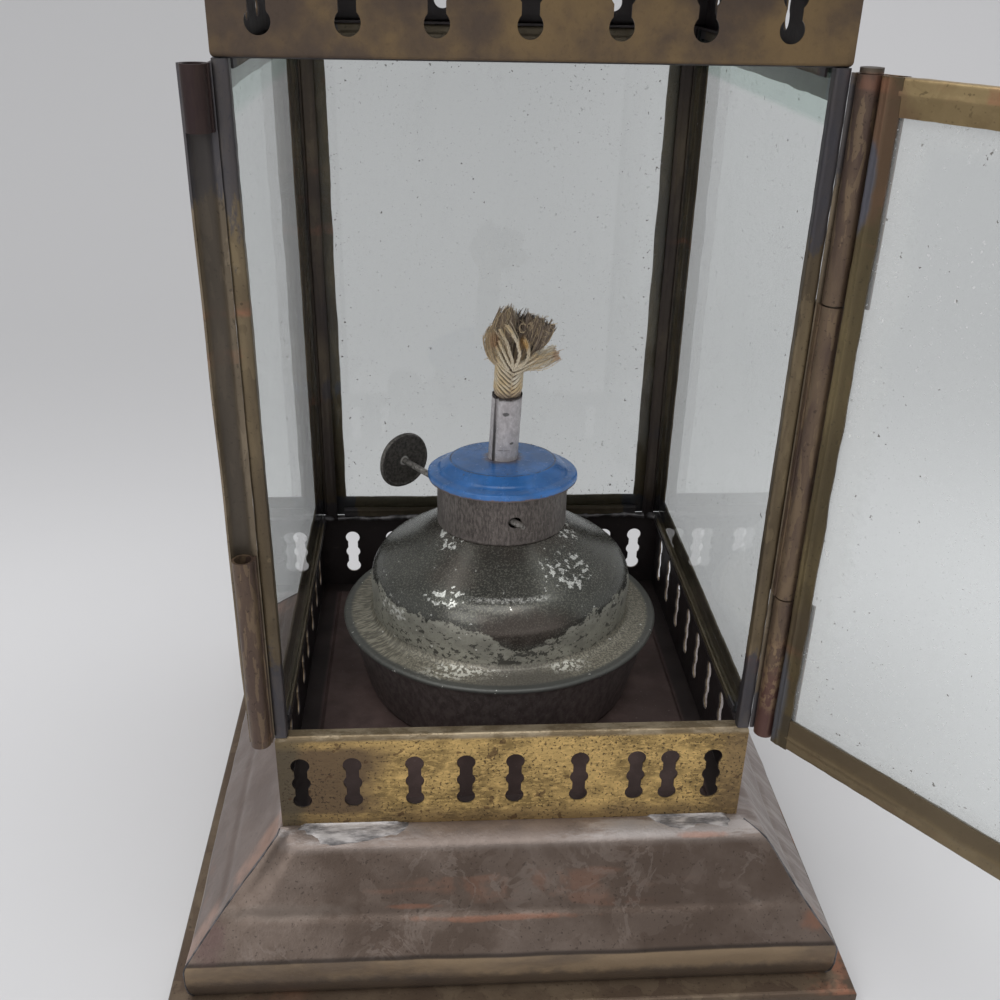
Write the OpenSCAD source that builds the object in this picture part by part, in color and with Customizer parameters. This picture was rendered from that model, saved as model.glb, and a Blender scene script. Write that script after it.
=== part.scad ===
// Square kerosene lantern: a hipped skirt, two pierced galleries, three fixed glass frames,
// a glass door and a small round-wick lamp that stands loose on the floor plate.
// The origin is the middle of the underside of the foot, the door side faces -Y.

/* [Sheet] */
// Thickness of the brass sheet
sheet = 0.8; // [0.6:0.1:1.0]
// Radius of the folds in the sheet
fold_r = 1.4; // [1.2:0.1:2.0]

/* [Base] */
// Height of the foot rim
foot_h = 8; // [6:0.5:14]
// How far the foot rim stands out past the lip of the skirt
foot_reach = 6.5; // [4:0.5:12]
// Height of the upright lip at the lower edge of the skirt
lip_h = 14; // [10:0.5:20]
// How far the skirt spreads past the body on each side
skirt_flare = 29.5; // [18:0.5:45]
// Height of the sloping part of the skirt
skirt_h = 30; // [22:1:45]
// Flat shoulder of the skirt outside the gallery
shoulder = 2.6; // [1.5:0.1:5]

/* [Body] */
// Width of the square body
body_w = 150; // [144:1:180]
// Height of each pierced gallery
gallery_h = 36; // [30:1:48]
// Height of the glass frames
frame_h = 196; // [182:1:240]
// Flat border between the gallery and the raised floor panel
floor_border = 7; // [4:0.5:12]
// How far the floor panel is raised
floor_rise = 1.4; // [0.8:0.1:2.2]

/* [Keyholes] */
// Diameter of each punched lobe
lobe_d = 6; // [4.5:0.1:6.6]
// Distance between the lobes of one keyhole
lobe_step = 7; // [5.5:0.1:7.6]
// Width of the slot that joins the lobes
neck_w = 4.2; // [3:0.1:4.4]
// Height of the keyhole centres above the lower gallery's edge
lower_hole_z = 17.5; // [15:0.5:18]
// Height of the keyhole centres above the upper gallery's edge
upper_hole_z = 15; // [14:0.5:17]

/* [Glass frames] */
// Width of the folded channel
channel_w = 8.6; // [7:0.2:11]
// Thickness of the folded channel
channel_t = 4; // [3.6:0.1:5]
// Wall of the folded channel
channel_wall = 0.6; // [0.4:0.05:0.7]
// Thickness of the glass
glass_t = 2; // [1.6:0.1:2.1]

/* [Door] */
// Opening angle of the door as it stands
door_open = 127; // [0:1:170]
// Width of the door's hinge stile
door_stile_w = 6; // [5.4:0.1:9]
// Width of the door's bottom rail
door_bottom_w = 11; // [9:0.5:16]
// Gap over and under the door
door_gap = 0.8; // [0.5:0.1:2]
// Gap between the closed door and the body
closed_gap = 1; // [0.6:0.1:2]
// Outer diameter of the hinge knuckles
knuckle_d = 6.2; // [5.8:0.1:7.2]
// Wall of the hinge knuckles and thickness of their leaves
knuckle_wall = 0.7; // [0.5:0.05:0.9]
// Radial play of the hinge pin
pin_play = 0.05; // [0.02:0.01:0.09]
// Length of the lowest hinge knuckle
hinge_low = 50; // [30:1:60]
// Length of the middle hinge knuckle
hinge_mid = 88; // [60:1:90]
// Length of the lower fixed knuckle of the closure
catch_low = 65; // [40:1:80]
// Length of the upper fixed knuckle of the closure
catch_high = 15; // [10:1:30]
// Gap between neighbouring knuckles
knuckle_gap = 0.5; // [0.3:0.1:1]

/* [Roof] */
// How far the eave stands out past the body
eave_reach = 6; // [3:0.5:12]
// Height of the upright lip of the eave
eave_lip = 6; // [4:0.5:8]
// Rise of the roof from the gallery to its crown
roof_h = 34; // [24:1:50]
// Half width of the flat crown
crown_half = 37; // [35:1:50]
// Radius of the chimney
chimney_r = 30; // [28:0.5:32]
// Height of the chimney
chimney_h = 30; // [26:1:44]
// Radius of the smoke cap
cap_r = 42; // [38:0.5:56]
// Rise of the smoke cap
cap_rise = 20; // [14:1:28]

/* [Carrying ring] */
// Radius of the ring to the middle of its wire
ring_r = 22; // [20:0.5:30]
// Thickness of the ring's wire
ring_wire = 4; // [3:0.1:4.4]
// Height of the eye's centre over the smoke cap
eye_h = 14; // [13:0.5:18]
// Radius of the eye to the middle of its wire
eye_r = 4.2; // [4:0.1:5]
// Thickness of the eye's wire
eye_wire = 3.2; // [2.4:0.1:3.4]

/* [Lamp] */
// How far the lamp stands behind the middle of the floor
lamp_y = 8; // [0:0.5:9]
// Radius of the lamp at its seam
seam_r = 58.5; // [54:0.5:60]
// Radius of the lamp's bottom
cup_bottom_r = 51; // [40:0.5:53]
// Height of the lower cup up to the seam
cup_h = 28.4; // [20:0.2:34]
// Radius of the dome at its foot
dome_foot_r = 47.2; // [42:0.2:48]
// Radius of the dome at its widest
dome_r = 48.2; // [44:0.2:50]
// Height of the dome over the seam
dome_h = 39; // [32:0.5:46]
// Thickness of the lamp's tinplate
tin = 0.6; // [0.4:0.1:0.8]
// Radius of the threaded neck
neck_r = 21.6; // [20:0.1:22]
// Height of the threaded neck
neck_h = 6; // [4:0.5:6.5]

/* [Burner] */
// Radius of the burner's collar
collar_r = 23; // [22.8:0.1:26]
// Height of the burner's collar
collar_h = 17.6; // [17:0.2:22]
// Radius of the painted cap's rim
rim_r = 26.9; // [26:0.1:31]
// Radius of the painted cap's flat top
plateau_r = 18.8; // [12:0.2:20]
// Rise of the painted cap over the collar
plateau_h = 5.6; // [4:0.2:8]
// Outer diameter of the wick tube
tube_d = 10.6; // [10.2:0.1:12]
// Wall of the wick tube
tube_wall = 0.4; // [0.3:0.05:0.5]
// Height of the wick tube over the painted cap
tube_h = 24.6; // [16:0.2:34]
// Radial play of the wick in its tube
wick_play = 0.35; // [0.3:0.05:0.6]
// How far the braided wick stands out of its tube before it frays
wick_out = 13; // [12.4:0.2:18]
// Height of the frayed tip
tuft_h = 19; // [14:0.5:26]
// How far the wick can be lowered
wick_drop = 12; // [8:0.5:12]

/* [Wick raiser] */
// Distance of the shaft from the burner's axis
shaft_off = 11.5; // [10.5:0.1:12.5]
// Direction of the shaft, counted from +X
shaft_turn = 127; // [110:1:150]
// Height of the shaft over the collar's lower edge
shaft_up = 9; // [8.4:0.1:10]
// Diameter of the shaft
shaft_d = 2.4; // [1.8:0.1:3]
// Distance from the middle of the burner to the thumbwheel
wheel_out = 44.5; // [36:0.5:50]
// Diameter of the thumbwheel
wheel_d = 22; // [16:0.5:26]
// How far the shaft's free end passes the middle of the burner
shaft_tail = 25.5; // [24.5:0.5:32]
// Number of teeth on the spur wheel
spur_teeth = 16; // [12:1:20]

/* [Hidden] */

// Sizes and heights that follow from the driving dimensions
half = body_w / 2;
lip_r = half + skirt_flare;
foot_r = lip_r + foot_reach;
base_z = foot_h + lip_h + skirt_h;
frame_z = base_z + gallery_h;
upper_z = frame_z + frame_h;
roof_z = upper_z + gallery_h;
seat_gap = 0.1;
slip = 0.2;
glass_play = 0.3;
lip_tuck = 1.6;
ledge_in = 5;

// Keyhole places as parts of the half width, punched by hand and so uneven
front_holes = [-0.905, -0.687, -0.424, -0.205, 0.005, 0.283, 0.528, 0.673, 0.86];
back_holes = [-0.856, -0.675, -0.42, -0.17, 0.08, 0.33, 0.573, 0.807];
side_holes = [-0.84, -0.61, -0.37, -0.12, 0.1, 0.35, 0.61, 0.84];
upper_holes = [-0.85, -0.58, -0.31, -0.025, 0.257, 0.52, 0.79];
upper_side_holes = [-0.8, -0.54, -0.27, 0, 0.27, 0.54, 0.8];

// Hinge line and door
hinge_out = knuckle_d / 2 + 0.4;
hinge_x = half + hinge_out;
hinge_y = -half - channel_t / 2 - closed_gap;
leaf_w = 5;
door_z = frame_z + door_gap;
door_h = frame_h - 2 * door_gap;
door_side = hinge_out + 0.3;
door_w = 2 * (hinge_x - door_side);
bore_r = knuckle_d / 2 - knuckle_wall;

// Roof and chimney
eave_r = half + eave_reach;
roof_run = half - crown_half;
roof_slope = roof_h / roof_run;
sheet_drop = sheet * sqrt(1 + roof_slope * roof_slope);
eave_z = roof_z - eave_reach * roof_slope + sheet_drop;
crown_z = roof_z + roof_h + sheet_drop;
chimney_z = crown_z + sheet;
cap_apex_r = 5;
cap_fold = 0.8;
cap_slope = cap_rise / (cap_r - cap_fold - cap_apex_r);
cap_z = chimney_z + chimney_h + sheet * sqrt(1 + cap_slope * cap_slope)
    - (cap_r - cap_fold - chimney_r) * cap_slope;
apex_z = cap_z + cap_rise;
eye_z = apex_z + eye_h;
ring_wire_r = ring_wire / 2;
cap_lean = atan(cap_slope);
ring_rest = 0.5;
cone_drop = cap_apex_r * cap_slope;
ring_lean = cap_lean + asin((eye_h - cone_drop - (ring_wire_r + ring_rest) / cos(cap_lean))
    * cos(cap_lean) / (2 * ring_r));

// Lamp and burner
cup_z = base_z + sheet + floor_rise + seat_gap;
seam_z = cup_z + cup_h;
neck_z = seam_z + dome_h;
collar_z = neck_z + 0.3;
collar_top = collar_z + collar_h;
plateau_z = collar_top + plateau_h;
tube_top = plateau_z + tube_h;
tube_r = tube_d / 2;
wick_r = tube_r - tube_wall - wick_play;
wick_low = cup_z + tin + wick_drop + 2;
tuft_z = tube_top + wick_out;
shaft_z = collar_z + shaft_up;
spur_gap = 0.3;
spur_r = shaft_off - wick_r - spur_gap;
spur_t = 3;
tube_low = shaft_z - spur_r - 2;

// Points of an arc round a centre
function arc(cx, cy, r, a0, a1, n) =
    [for (i = [0 : n]) let (a = a0 + (a1 - a0) * i / n) [cx + r * cos(a), cy + r * sin(a)]];

// Left-hand normal of the line from a to b
function left(a, b) = let (d = (b - a) / norm(b - a)) [-d.y, d.x];

// Mitred offset direction at point i of the path p
function mitre(p, i) =
    let (n = len(p) - 1,
         u = i == 0 ? left(p[0], p[1]) : left(p[i - 1], p[i]),
         w = i == n ? u : left(p[i], p[i + 1]))
    (u + w) / (1 + u * w);

// Closed outline of a sheet of thickness t that follows the path p on its left
function sheet_outline(p, t) =
    concat(p, [for (i = [len(p) - 1 : -1 : 0]) p[i] + t * mitre(p, i)]);

// One side of a square ring, mitred at both corners; the profile holds [distance out, height]
module side_run(profile, reach) {
    intersection() {
        translate([-reach, 0, 0])
            rotate([90, 0, 90])
                linear_extrude(2 * reach)
                    polygon([for (p = profile) [-p.x, p.y]]);
        translate([0, 0, -reach])
            linear_extrude(eye_z + 2 * reach)
                polygon([[0, 0], [-reach, -reach], [reach, -reach]]);
    }
}

// Three punched lobes in a column, joined by a slot
module keyhole() {
    for (i = [-1 : 1])
        translate([0, i * lobe_step])
            circle(d = lobe_d, $fn = 28);
    square([neck_w, 2 * lobe_step], center = true);
}

// Folded channel that is open towards +X, its web at x = 0
function channel_outline(w) = concat(
    [[w, 0]],
    arc(fold_r / 2, fold_r / 2, fold_r / 2, 270, 180, 3),
    arc(fold_r / 2, channel_t - fold_r / 2, fold_r / 2, 180, 90, 3),
    [[w, channel_t], [w, channel_t - channel_wall], [channel_wall, channel_t - channel_wall],
     [channel_wall, channel_wall], [w, channel_wall]]);

module stile(h, w) {
    linear_extrude(h)
        polygon(channel_outline(w));
}

module rail(run, w) {
    translate([run, 0, 0])
        rotate([0, -90, 0])
            linear_extrude(run)
                polygon(channel_outline(w));
}

// Places of the frames: width along local X, thickness along local Y
module on_left() {
    translate([-half + channel_t, -half, frame_z])
        rotate([0, 0, 90])
            children();
}

module on_right() {
    translate([half, -half, frame_z])
        rotate([0, 0, 90])
            children();
}

module on_back() {
    translate([-half + channel_t, half - channel_t, frame_z])
        children();
}

module on_door() {
    translate([hinge_x, hinge_y, door_z])
        rotate([0, 0, 180 + door_open])
            translate([door_side, -channel_t / 2, 0])
                children();
}

// The four channels and the pane of a frame that is w wide and h high
module near_stile(h, sw) {
    stile(h, sw);
}

module far_stile(w, h) {
    translate([w, 0, 0])
        mirror([1, 0, 0])
            stile(h, channel_w);
}

module low_rail(w, sw, rw) {
    translate([sw, 0, 0])
        rail(w - sw - channel_w, rw);
}

module high_rail(w, h, sw) {
    translate([sw, 0, h])
        mirror([0, 0, 1])
            rail(w - sw - channel_w, channel_w);
}

module pane(w, h) {
    color([0.75, 0.85, 0.82, 0.35])
        translate([channel_wall + glass_play, (channel_t - glass_t) / 2, channel_wall])
            cube([w - 2 * (channel_wall + glass_play), glass_t, h - 2 * channel_wall - glass_play]);
}

// Foot: one folded tray whose rim carries the skirt
module foot_plate() {
    path = concat(
        [[0, 0]],
        arc(foot_r - fold_r, fold_r, fold_r, 270, 360, 4),
        arc(foot_r - fold_r, foot_h - fold_r, fold_r, 0, 90, 4),
        [[lip_r - lip_tuck - 4, foot_h]]);
    color("#5f4d3c")
        for (k = [0 : 3])
            rotate([0, 0, 90 * k])
                side_run(sheet_outline(path, sheet), foot_r + 1);
}

// Skirt: lip that curls in at its foot, slope and flat ledge under the gallery
module skirt_panel(k) {
    lip_top = foot_h + lip_h;
    path = concat(
        [[lip_r - lip_tuck, foot_h], [lip_r - 0.5, foot_h + 2.6], [lip_r, foot_h + 6]],
        [[lip_r, lip_top - 1.6], [lip_r - 0.5, lip_top]],
        [[half + shoulder + 1.4, base_z - 1.1], [half + shoulder, base_z - 0.3]],
        [[half + shoulder - 1.4, base_z], [half - ledge_in, base_z]]);
    color("#6b5243")
        rotate([0, 0, 90 * k])
            side_run(sheet_outline(path, sheet), lip_r + 1);
}

module skirt_front() { skirt_panel(0); }
module skirt_right() { skirt_panel(1); }
module skirt_back() { skirt_panel(2); }
module skirt_left() { skirt_panel(3); }

// Floor: flat border and a raised panel that the lamp stands on
module floor_plate() {
    edge = half - sheet - slip;
    top = base_z + sheet;
    path = [[edge, top], [edge - floor_border, top],
            [edge - floor_border - floor_rise, top + floor_rise], [0, top + floor_rise]];
    color("#4a352c")
        for (k = [0 : 3])
            rotate([0, 0, 90 * k])
                side_run(sheet_outline(path, sheet), half);
}

// Gallery wall with keyholes; its top edge is folded in and carries the frames
module gallery_wall(k, holes) {
    path = concat(
        [[half, base_z]],
        arc(half - fold_r, frame_z - fold_r, fold_r, 0, 90, 4),
        [[half - channel_t, frame_z]]);
    rotate([0, 0, 90 * k])
        difference() {
            side_run(sheet_outline(path, sheet), half + 1);
            punched(holes, base_z + lower_hole_z);
        }
}

// Upper gallery wall: the fold is at its lower edge
module upper_wall(k, holes) {
    path = concat(
        [[half - channel_t, upper_z]],
        arc(half - fold_r, upper_z + fold_r, fold_r, 270, 360, 4),
        [[half, roof_z]]);
    rotate([0, 0, 90 * k])
        difference() {
            side_run(sheet_outline(path, sheet), half + 1);
            punched(holes, upper_z + upper_hole_z);
        }
}

module punched(holes, z) {
    for (x = holes)
        translate([x * half, -half + sheet + 1, z])
            rotate([90, 0, 0])
                linear_extrude(sheet + 2)
                    keyhole();
}

module gallery_front() { color("#b08c46") gallery_wall(0, front_holes); }
module gallery_right() { color("#7d653a") gallery_wall(1, side_holes); }
module gallery_back() { color("#7d653a") gallery_wall(2, back_holes); }
module gallery_left() { color("#7d653a") gallery_wall(3, side_holes); }
module upper_front() { color("#6e5a38") upper_wall(0, upper_holes); }
module upper_right() { color("#6e5a38") upper_wall(1, upper_side_holes); }
module upper_back() { color("#6e5a38") upper_wall(2, upper_side_holes); }
module upper_left() { color("#6e5a38") upper_wall(3, upper_side_holes); }

// Fixed frames
back_w = body_w - 2 * channel_t;

module left_front_stile() { color("#75633a") on_left() near_stile(frame_h, channel_w); }
module left_back_stile() { color("#75633a") on_left() far_stile(body_w, frame_h); }
module left_bottom_rail() { color("#6b5a38") on_left() low_rail(body_w, channel_w, channel_w); }
module left_top_rail() { color("#6b5a38") on_left() high_rail(body_w, frame_h, channel_w); }
module left_glass() { on_left() pane(body_w, frame_h); }
module right_front_stile() { color("#75633a") on_right() near_stile(frame_h, channel_w); }
module right_back_stile() { color("#75633a") on_right() far_stile(body_w, frame_h); }
module right_bottom_rail() { color("#6b5a38") on_right() low_rail(body_w, channel_w, channel_w); }
module right_top_rail() { color("#6b5a38") on_right() high_rail(body_w, frame_h, channel_w); }
module right_glass() { on_right() pane(body_w, frame_h); }
module back_left_stile() { color("#75633a") on_back() near_stile(frame_h, channel_w); }
module back_right_stile() { color("#75633a") on_back() far_stile(back_w, frame_h); }
module back_bottom_rail() { color("#6b5a38") on_back() low_rail(back_w, channel_w, channel_w); }
module back_top_rail() { color("#6b5a38") on_back() high_rail(back_w, frame_h, channel_w); }
module back_glass() { on_back() pane(back_w, frame_h); }

// Door
module door_hinge_stile() { color("#7c6a3c") on_door() near_stile(door_h, door_stile_w); }
module door_free_stile() { color("#7c6a3c") on_door() far_stile(door_w, door_h); }
module door_bottom_rail() { color("#75633a") on_door() low_rail(door_w, door_stile_w, door_bottom_w); }
module door_top_rail() { color("#8a743f") on_door() high_rail(door_w, door_h, door_stile_w); }
module door_glass() { on_door() pane(door_w, door_h); }

// Tube with a flat leaf; the leaf starts at leaf_at and is leaf_size
module knuckle(run, leaf_at, leaf_size) {
    difference() {
        union() {
            cylinder(d = knuckle_d, h = run, $fn = 32);
            translate(leaf_at)
                cube([leaf_size.x, leaf_size.y, run]);
        }
        translate([0, 0, -1])
            cylinder(r = bore_r, h = run + 2, $fn = 32);
    }
}

// Leaf along the body's side face, on the outer side of the stile
module post_knuckle(run) {
    knuckle(run, [-hinge_out, 0, 0], [knuckle_wall, channel_t / 2 + closed_gap + leaf_w]);
}

// Leaf along the door's outer face
module door_knuckle(run) {
    knuckle(run, [0, channel_t / 2, 0], [door_side + leaf_w, knuckle_wall]);
}

module door_axis() {
    translate([hinge_x, hinge_y, door_z])
        rotate([0, 0, 180 + door_open])
            children();
}

hinge_high_z = hinge_low + hinge_mid + 2 * knuckle_gap;
catch_mid_z = catch_low + knuckle_gap;
catch_mid = door_h - catch_low - catch_high - 2 * knuckle_gap;

module door_hinge_knuckles() {
    color("#6f5936")
        door_axis() {
            door_knuckle(hinge_low);
            translate([0, 0, hinge_high_z])
                door_knuckle(door_h - hinge_high_z);
        }
}

module door_catch_knuckle() {
    color("#6f5936")
        door_axis()
            translate([2 * hinge_x, 0, catch_mid_z])
                mirror([1, 0, 0])
                    door_knuckle(catch_mid);
}

module post_hinge_knuckle() {
    color("#6f5936")
        translate([hinge_x, hinge_y, door_z + hinge_low + knuckle_gap])
            post_knuckle(hinge_mid);
}

module post_catch_knuckles() {
    color("#6f5936")
        translate([-hinge_x, hinge_y, door_z])
            mirror([1, 0, 0]) {
                post_knuckle(catch_low);
                translate([0, 0, door_h - catch_high])
                    post_knuckle(catch_high);
            }
}

// Hinge pin with a flattened head over the top knuckle
module hinge_pin() {
    color("#5a4a34")
        translate([hinge_x, hinge_y, door_z]) {
            cylinder(r = bore_r - pin_play, h = door_h + knuckle_gap, $fn = 32);
            translate([0, 0, door_h + slip])
                cylinder(d = knuckle_d - 0.6, h = 1.2, $fn = 32);
        }
}

// Roof: upright eave lip, slope and inner ledge under the crown plate
module roof_panel(k) {
    path = [[eave_r, eave_z - eave_lip], [eave_r, eave_z - 1], [eave_r - 0.7, eave_z + 0.7 * roof_slope],
            [crown_half + 1, crown_z - roof_slope], [crown_half - 1, crown_z],
            [crown_half - ledge_in, crown_z]];
    color("#6b5243")
        rotate([0, 0, 90 * k])
            side_run(sheet_outline(path, sheet), eave_r + 1);
}

module roof_front() { roof_panel(0); }
module roof_right() { roof_panel(1); }
module roof_back() { roof_panel(2); }
module roof_left() { roof_panel(3); }

module crown_plate() {
    color("#6e5a38")
        difference() {
            translate([-crown_half + 1, -crown_half + 1, crown_z])
                cube([2 * crown_half - 2, 2 * crown_half - 2, sheet]);
            translate([0, 0, crown_z - 1])
                cylinder(r = chimney_r - sheet - 1, h = sheet + 2, $fn = 96);
        }
}

// Chimney: pierced tube with a foot flange
module chimney() {
    color("#7d653a")
        difference() {
            translate([0, 0, chimney_z]) {
                cylinder(r = chimney_r, h = chimney_h, $fn = 96);
                cylinder(r = chimney_r + 4, h = sheet, $fn = 96);
            }
            translate([0, 0, chimney_z - 1])
                cylinder(r = chimney_r - sheet, h = chimney_h + 2, $fn = 96);
            for (a = [0 : 45 : 315])
                rotate([0, 0, a])
                    translate([0, -chimney_r + sheet + 2, chimney_z + chimney_h / 2])
                        rotate([90, 0, 0])
                            linear_extrude(sheet + 4)
                                scale([0.8, 0.8])
                                    keyhole();
        }
}

module smoke_cap() {
    path = [[cap_r, cap_z - 3], [cap_r, cap_z - cap_fold], [cap_r - cap_fold, cap_z],
            [cap_apex_r, apex_z], [0, apex_z]];
    color("#6b5243")
        rotate_extrude($fn = 96)
            polygon(sheet_outline(path, sheet));
}

// Turned foot and wire eye on top of the smoke cap
module top_eye() {
    color("#8a743f") {
        translate([0, 0, apex_z])
            cylinder(r = cap_apex_r - 0.4, h = 2, $fn = 48);
        translate([0, 0, apex_z])
            cylinder(d = eye_wire + 0.6, h = eye_h - eye_r, $fn = 32);
        translate([0, 0, eye_z])
            rotate([0, 90, 0])
                rotate_extrude($fn = 48)
                    translate([eye_r, 0])
                        circle(d = eye_wire, $fn = 24);
    }
}

// Ring that hangs in the eye and leans back on the smoke cap
module carrying_ring() {
    color("#8a743f")
        translate([0, 0, eye_z])
            rotate([-ring_lean, 0, 0])
                translate([0, ring_r, 0])
                    rotate_extrude($fn = 96)
                        translate([ring_r, 0])
                            circle(d = ring_wire, $fn = 24);
}

// Lamp: place of its axis
module at_lamp(z) {
    translate([0, lamp_y, z])
        children();
}

module reservoir_cup() {
    path = concat(
        [[0, 0]],
        arc(cup_bottom_r - 2, 2, 2, 270, 340, 4),
        [[seam_r - 2, cup_h - 2.4], [seam_r, cup_h - 0.6], [seam_r, cup_h]]);
    color("#4b4b47")
        at_lamp(cup_z)
            rotate_extrude($fn = 128)
                polygon(sheet_outline(path, tin));
}

// Dome: flat seam flange, bulging wall and a shoulder that closes in on the neck
module reservoir_dome() {
    bulge_z = 14;
    top_run = dome_r - neck_r - 4;
    path = concat(
        [[seam_r - tin, tin], [seam_r - 2.4, 1.4], [dome_foot_r + 3, 2.2], [dome_foot_r, 3.4]],
        [[dome_foot_r + 0.4, bulge_z - 6]],
        [for (i = [0 : 12]) let (a = 90 * i / 12)
            [dome_r - top_run + top_run * cos(a), bulge_z + (dome_h - bulge_z) * sin(a)]],
        [[neck_r - 2, dome_h]]);
    color("#66665f")
        at_lamp(seam_z)
            rotate_extrude($fn = 128)
                polygon(sheet_outline(path, tin));
}

// Threaded neck that the burner screws over
module burner_neck() {
    color("#8a867c")
        at_lamp(neck_z)
            difference() {
                cylinder(r = neck_r, h = neck_h, $fn = 96);
                translate([0, 0, -1])
                    cylinder(r = neck_r - tin, h = neck_h + 2, $fn = 96);
            }
}

module shaft_line() {
    at_lamp(shaft_z)
        rotate([0, 0, shaft_turn])
            translate([0, shaft_off, 0])
                rotate([0, 90, 0])
                    children();
}

module burner_collar() {
    color("#80796f")
        difference() {
            at_lamp(collar_z)
                cylinder(r = collar_r, h = collar_h, $fn = 96);
            at_lamp(collar_z - 1)
                cylinder(r = collar_r - tin, h = collar_h + 2, $fn = 96);
            shaft_line()
                cylinder(d = shaft_d + 0.1, h = collar_r, $fn = 32);
            shaft_line()
                translate([0, 0, -collar_r])
                    cylinder(d = shaft_d + 1.8, h = collar_r, $fn = 32);
        }
}

// Pressed cap in three steps, painted, with a hole for the wick tube
module burner_cap() {
    rim_drop = 1.6;
    waist_r = (rim_r + plateau_r) / 2 + 0.6;
    path = [[rim_r, -rim_drop], [rim_r, 0.2], [rim_r - 0.8, 1.1],
            [waist_r, plateau_h * 0.42], [waist_r - 1.2, plateau_h * 0.62],
            [plateau_r + 0.9, plateau_h * 0.8], [plateau_r, plateau_h], [tube_r + 0.1, plateau_h + 0.3]];
    color("#2f69b0")
        at_lamp(collar_top)
            rotate_extrude($fn = 96)
                polygon(sheet_outline(path, tin));
}

// Wick tube: rolled tin, with a window on the side of the spur wheel
module wick_tube() {
    window = spur_t + 1.6;
    color("#a9a7a2")
        difference() {
            at_lamp(tube_low)
                cylinder(r = tube_r, h = tube_top - tube_low, $fn = 48);
            at_lamp(tube_low - 1)
                cylinder(r = tube_r - tube_wall, h = tube_top - tube_low + 2, $fn = 48);
            at_lamp(shaft_z)
                rotate([0, 0, shaft_turn])
                    translate([-window / 2, 0, -spur_r])
                        cube([window, tube_d, 2 * spur_r]);
        }
}

// Round braided wick: straight cord and a frayed tip of two spread locks
module wick() {
    color("#cdbb95") {
        at_lamp(wick_low)
            cylinder(r = wick_r, h = tuft_z - wick_low, $fn = 40);
        at_lamp(tuft_z)
            hull() {
                cylinder(r = wick_r, h = 1, $fn = 28);
                translate([-1, 0, tuft_h * 0.8])
                    scale([1, 0.8, 0.6])
                        sphere(r = tuft_h * 0.31, $fn = 20);
            }
        at_lamp(tuft_z)
            hull() {
                cylinder(r = wick_r, h = 1, $fn = 28);
                translate([tuft_h * 0.6, 0, tuft_h * 0.62])
                    scale([1, 0.8, 0.8])
                        sphere(r = tuft_h * 0.22, $fn = 20);
            }
    }
}

module wick_shaft() {
    color("#57524c")
        shaft_line()
            translate([0, 0, -shaft_tail])
                cylinder(d = shaft_d, h = shaft_tail + wheel_out, $fn = 32);
}

// Pressed disc with a rolled edge and a boss, seated on the end of the shaft
module thumbwheel() {
    disc_t = 1;
    edge_t = 1.8;
    color("#45433f")
        shaft_line()
            translate([0, 0, wheel_out])
                difference() {
                    union() {
                        cylinder(d = wheel_d, h = disc_t, $fn = 64);
                        translate([0, 0, (disc_t - edge_t) / 2])
                            difference() {
                                cylinder(d = wheel_d, h = edge_t, $fn = 64);
                                translate([0, 0, -1])
                                    cylinder(d = wheel_d - 1.6, h = edge_t + 2, $fn = 64);
                            }
                        cylinder(d = shaft_d + 1.6, h = disc_t + 0.8, $fn = 32);
                    }
                }
}

// Spur wheel: sharp teeth that grip the wick through the tube's window
module spur_wheel() {
    color("#8a867c")
        shaft_line()
            translate([0, 0, -spur_t / 2])
                difference() {
                    linear_extrude(spur_t)
                        polygon([for (i = [0 : 2 * spur_teeth - 1])
                            let (r = i % 2 == 0 ? spur_r : spur_r - 1.3, a = 180 * i / spur_teeth)
                            [r * cos(a), r * sin(a)]]);
                    translate([0, 0, -1])
                        cylinder(d = shaft_d, h = spur_t + 2, $fn = 32);
                }
}

foot_plate();
skirt_front();
skirt_right();
skirt_back();
skirt_left();
floor_plate();
gallery_front();
gallery_right();
gallery_back();
gallery_left();
left_front_stile();
left_back_stile();
left_bottom_rail();
left_top_rail();
left_glass();
right_front_stile();
right_back_stile();
right_bottom_rail();
right_top_rail();
right_glass();
back_left_stile();
back_right_stile();
back_bottom_rail();
back_top_rail();
back_glass();
door_hinge_stile();
door_free_stile();
door_bottom_rail();
door_top_rail();
door_glass();
door_hinge_knuckles();
door_catch_knuckle();
post_hinge_knuckle();
post_catch_knuckles();
hinge_pin();
upper_front();
upper_right();
upper_back();
upper_left();
roof_front();
roof_right();
roof_back();
roof_left();
crown_plate();
chimney();
smoke_cap();
top_eye();
carrying_ring();
reservoir_cup();
reservoir_dome();
burner_neck();
burner_collar();
burner_cap();
wick_tube();
wick();
wick_shaft();
thumbwheel();
spur_wheel();
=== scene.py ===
from math import cos, pi, radians, sin

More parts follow.
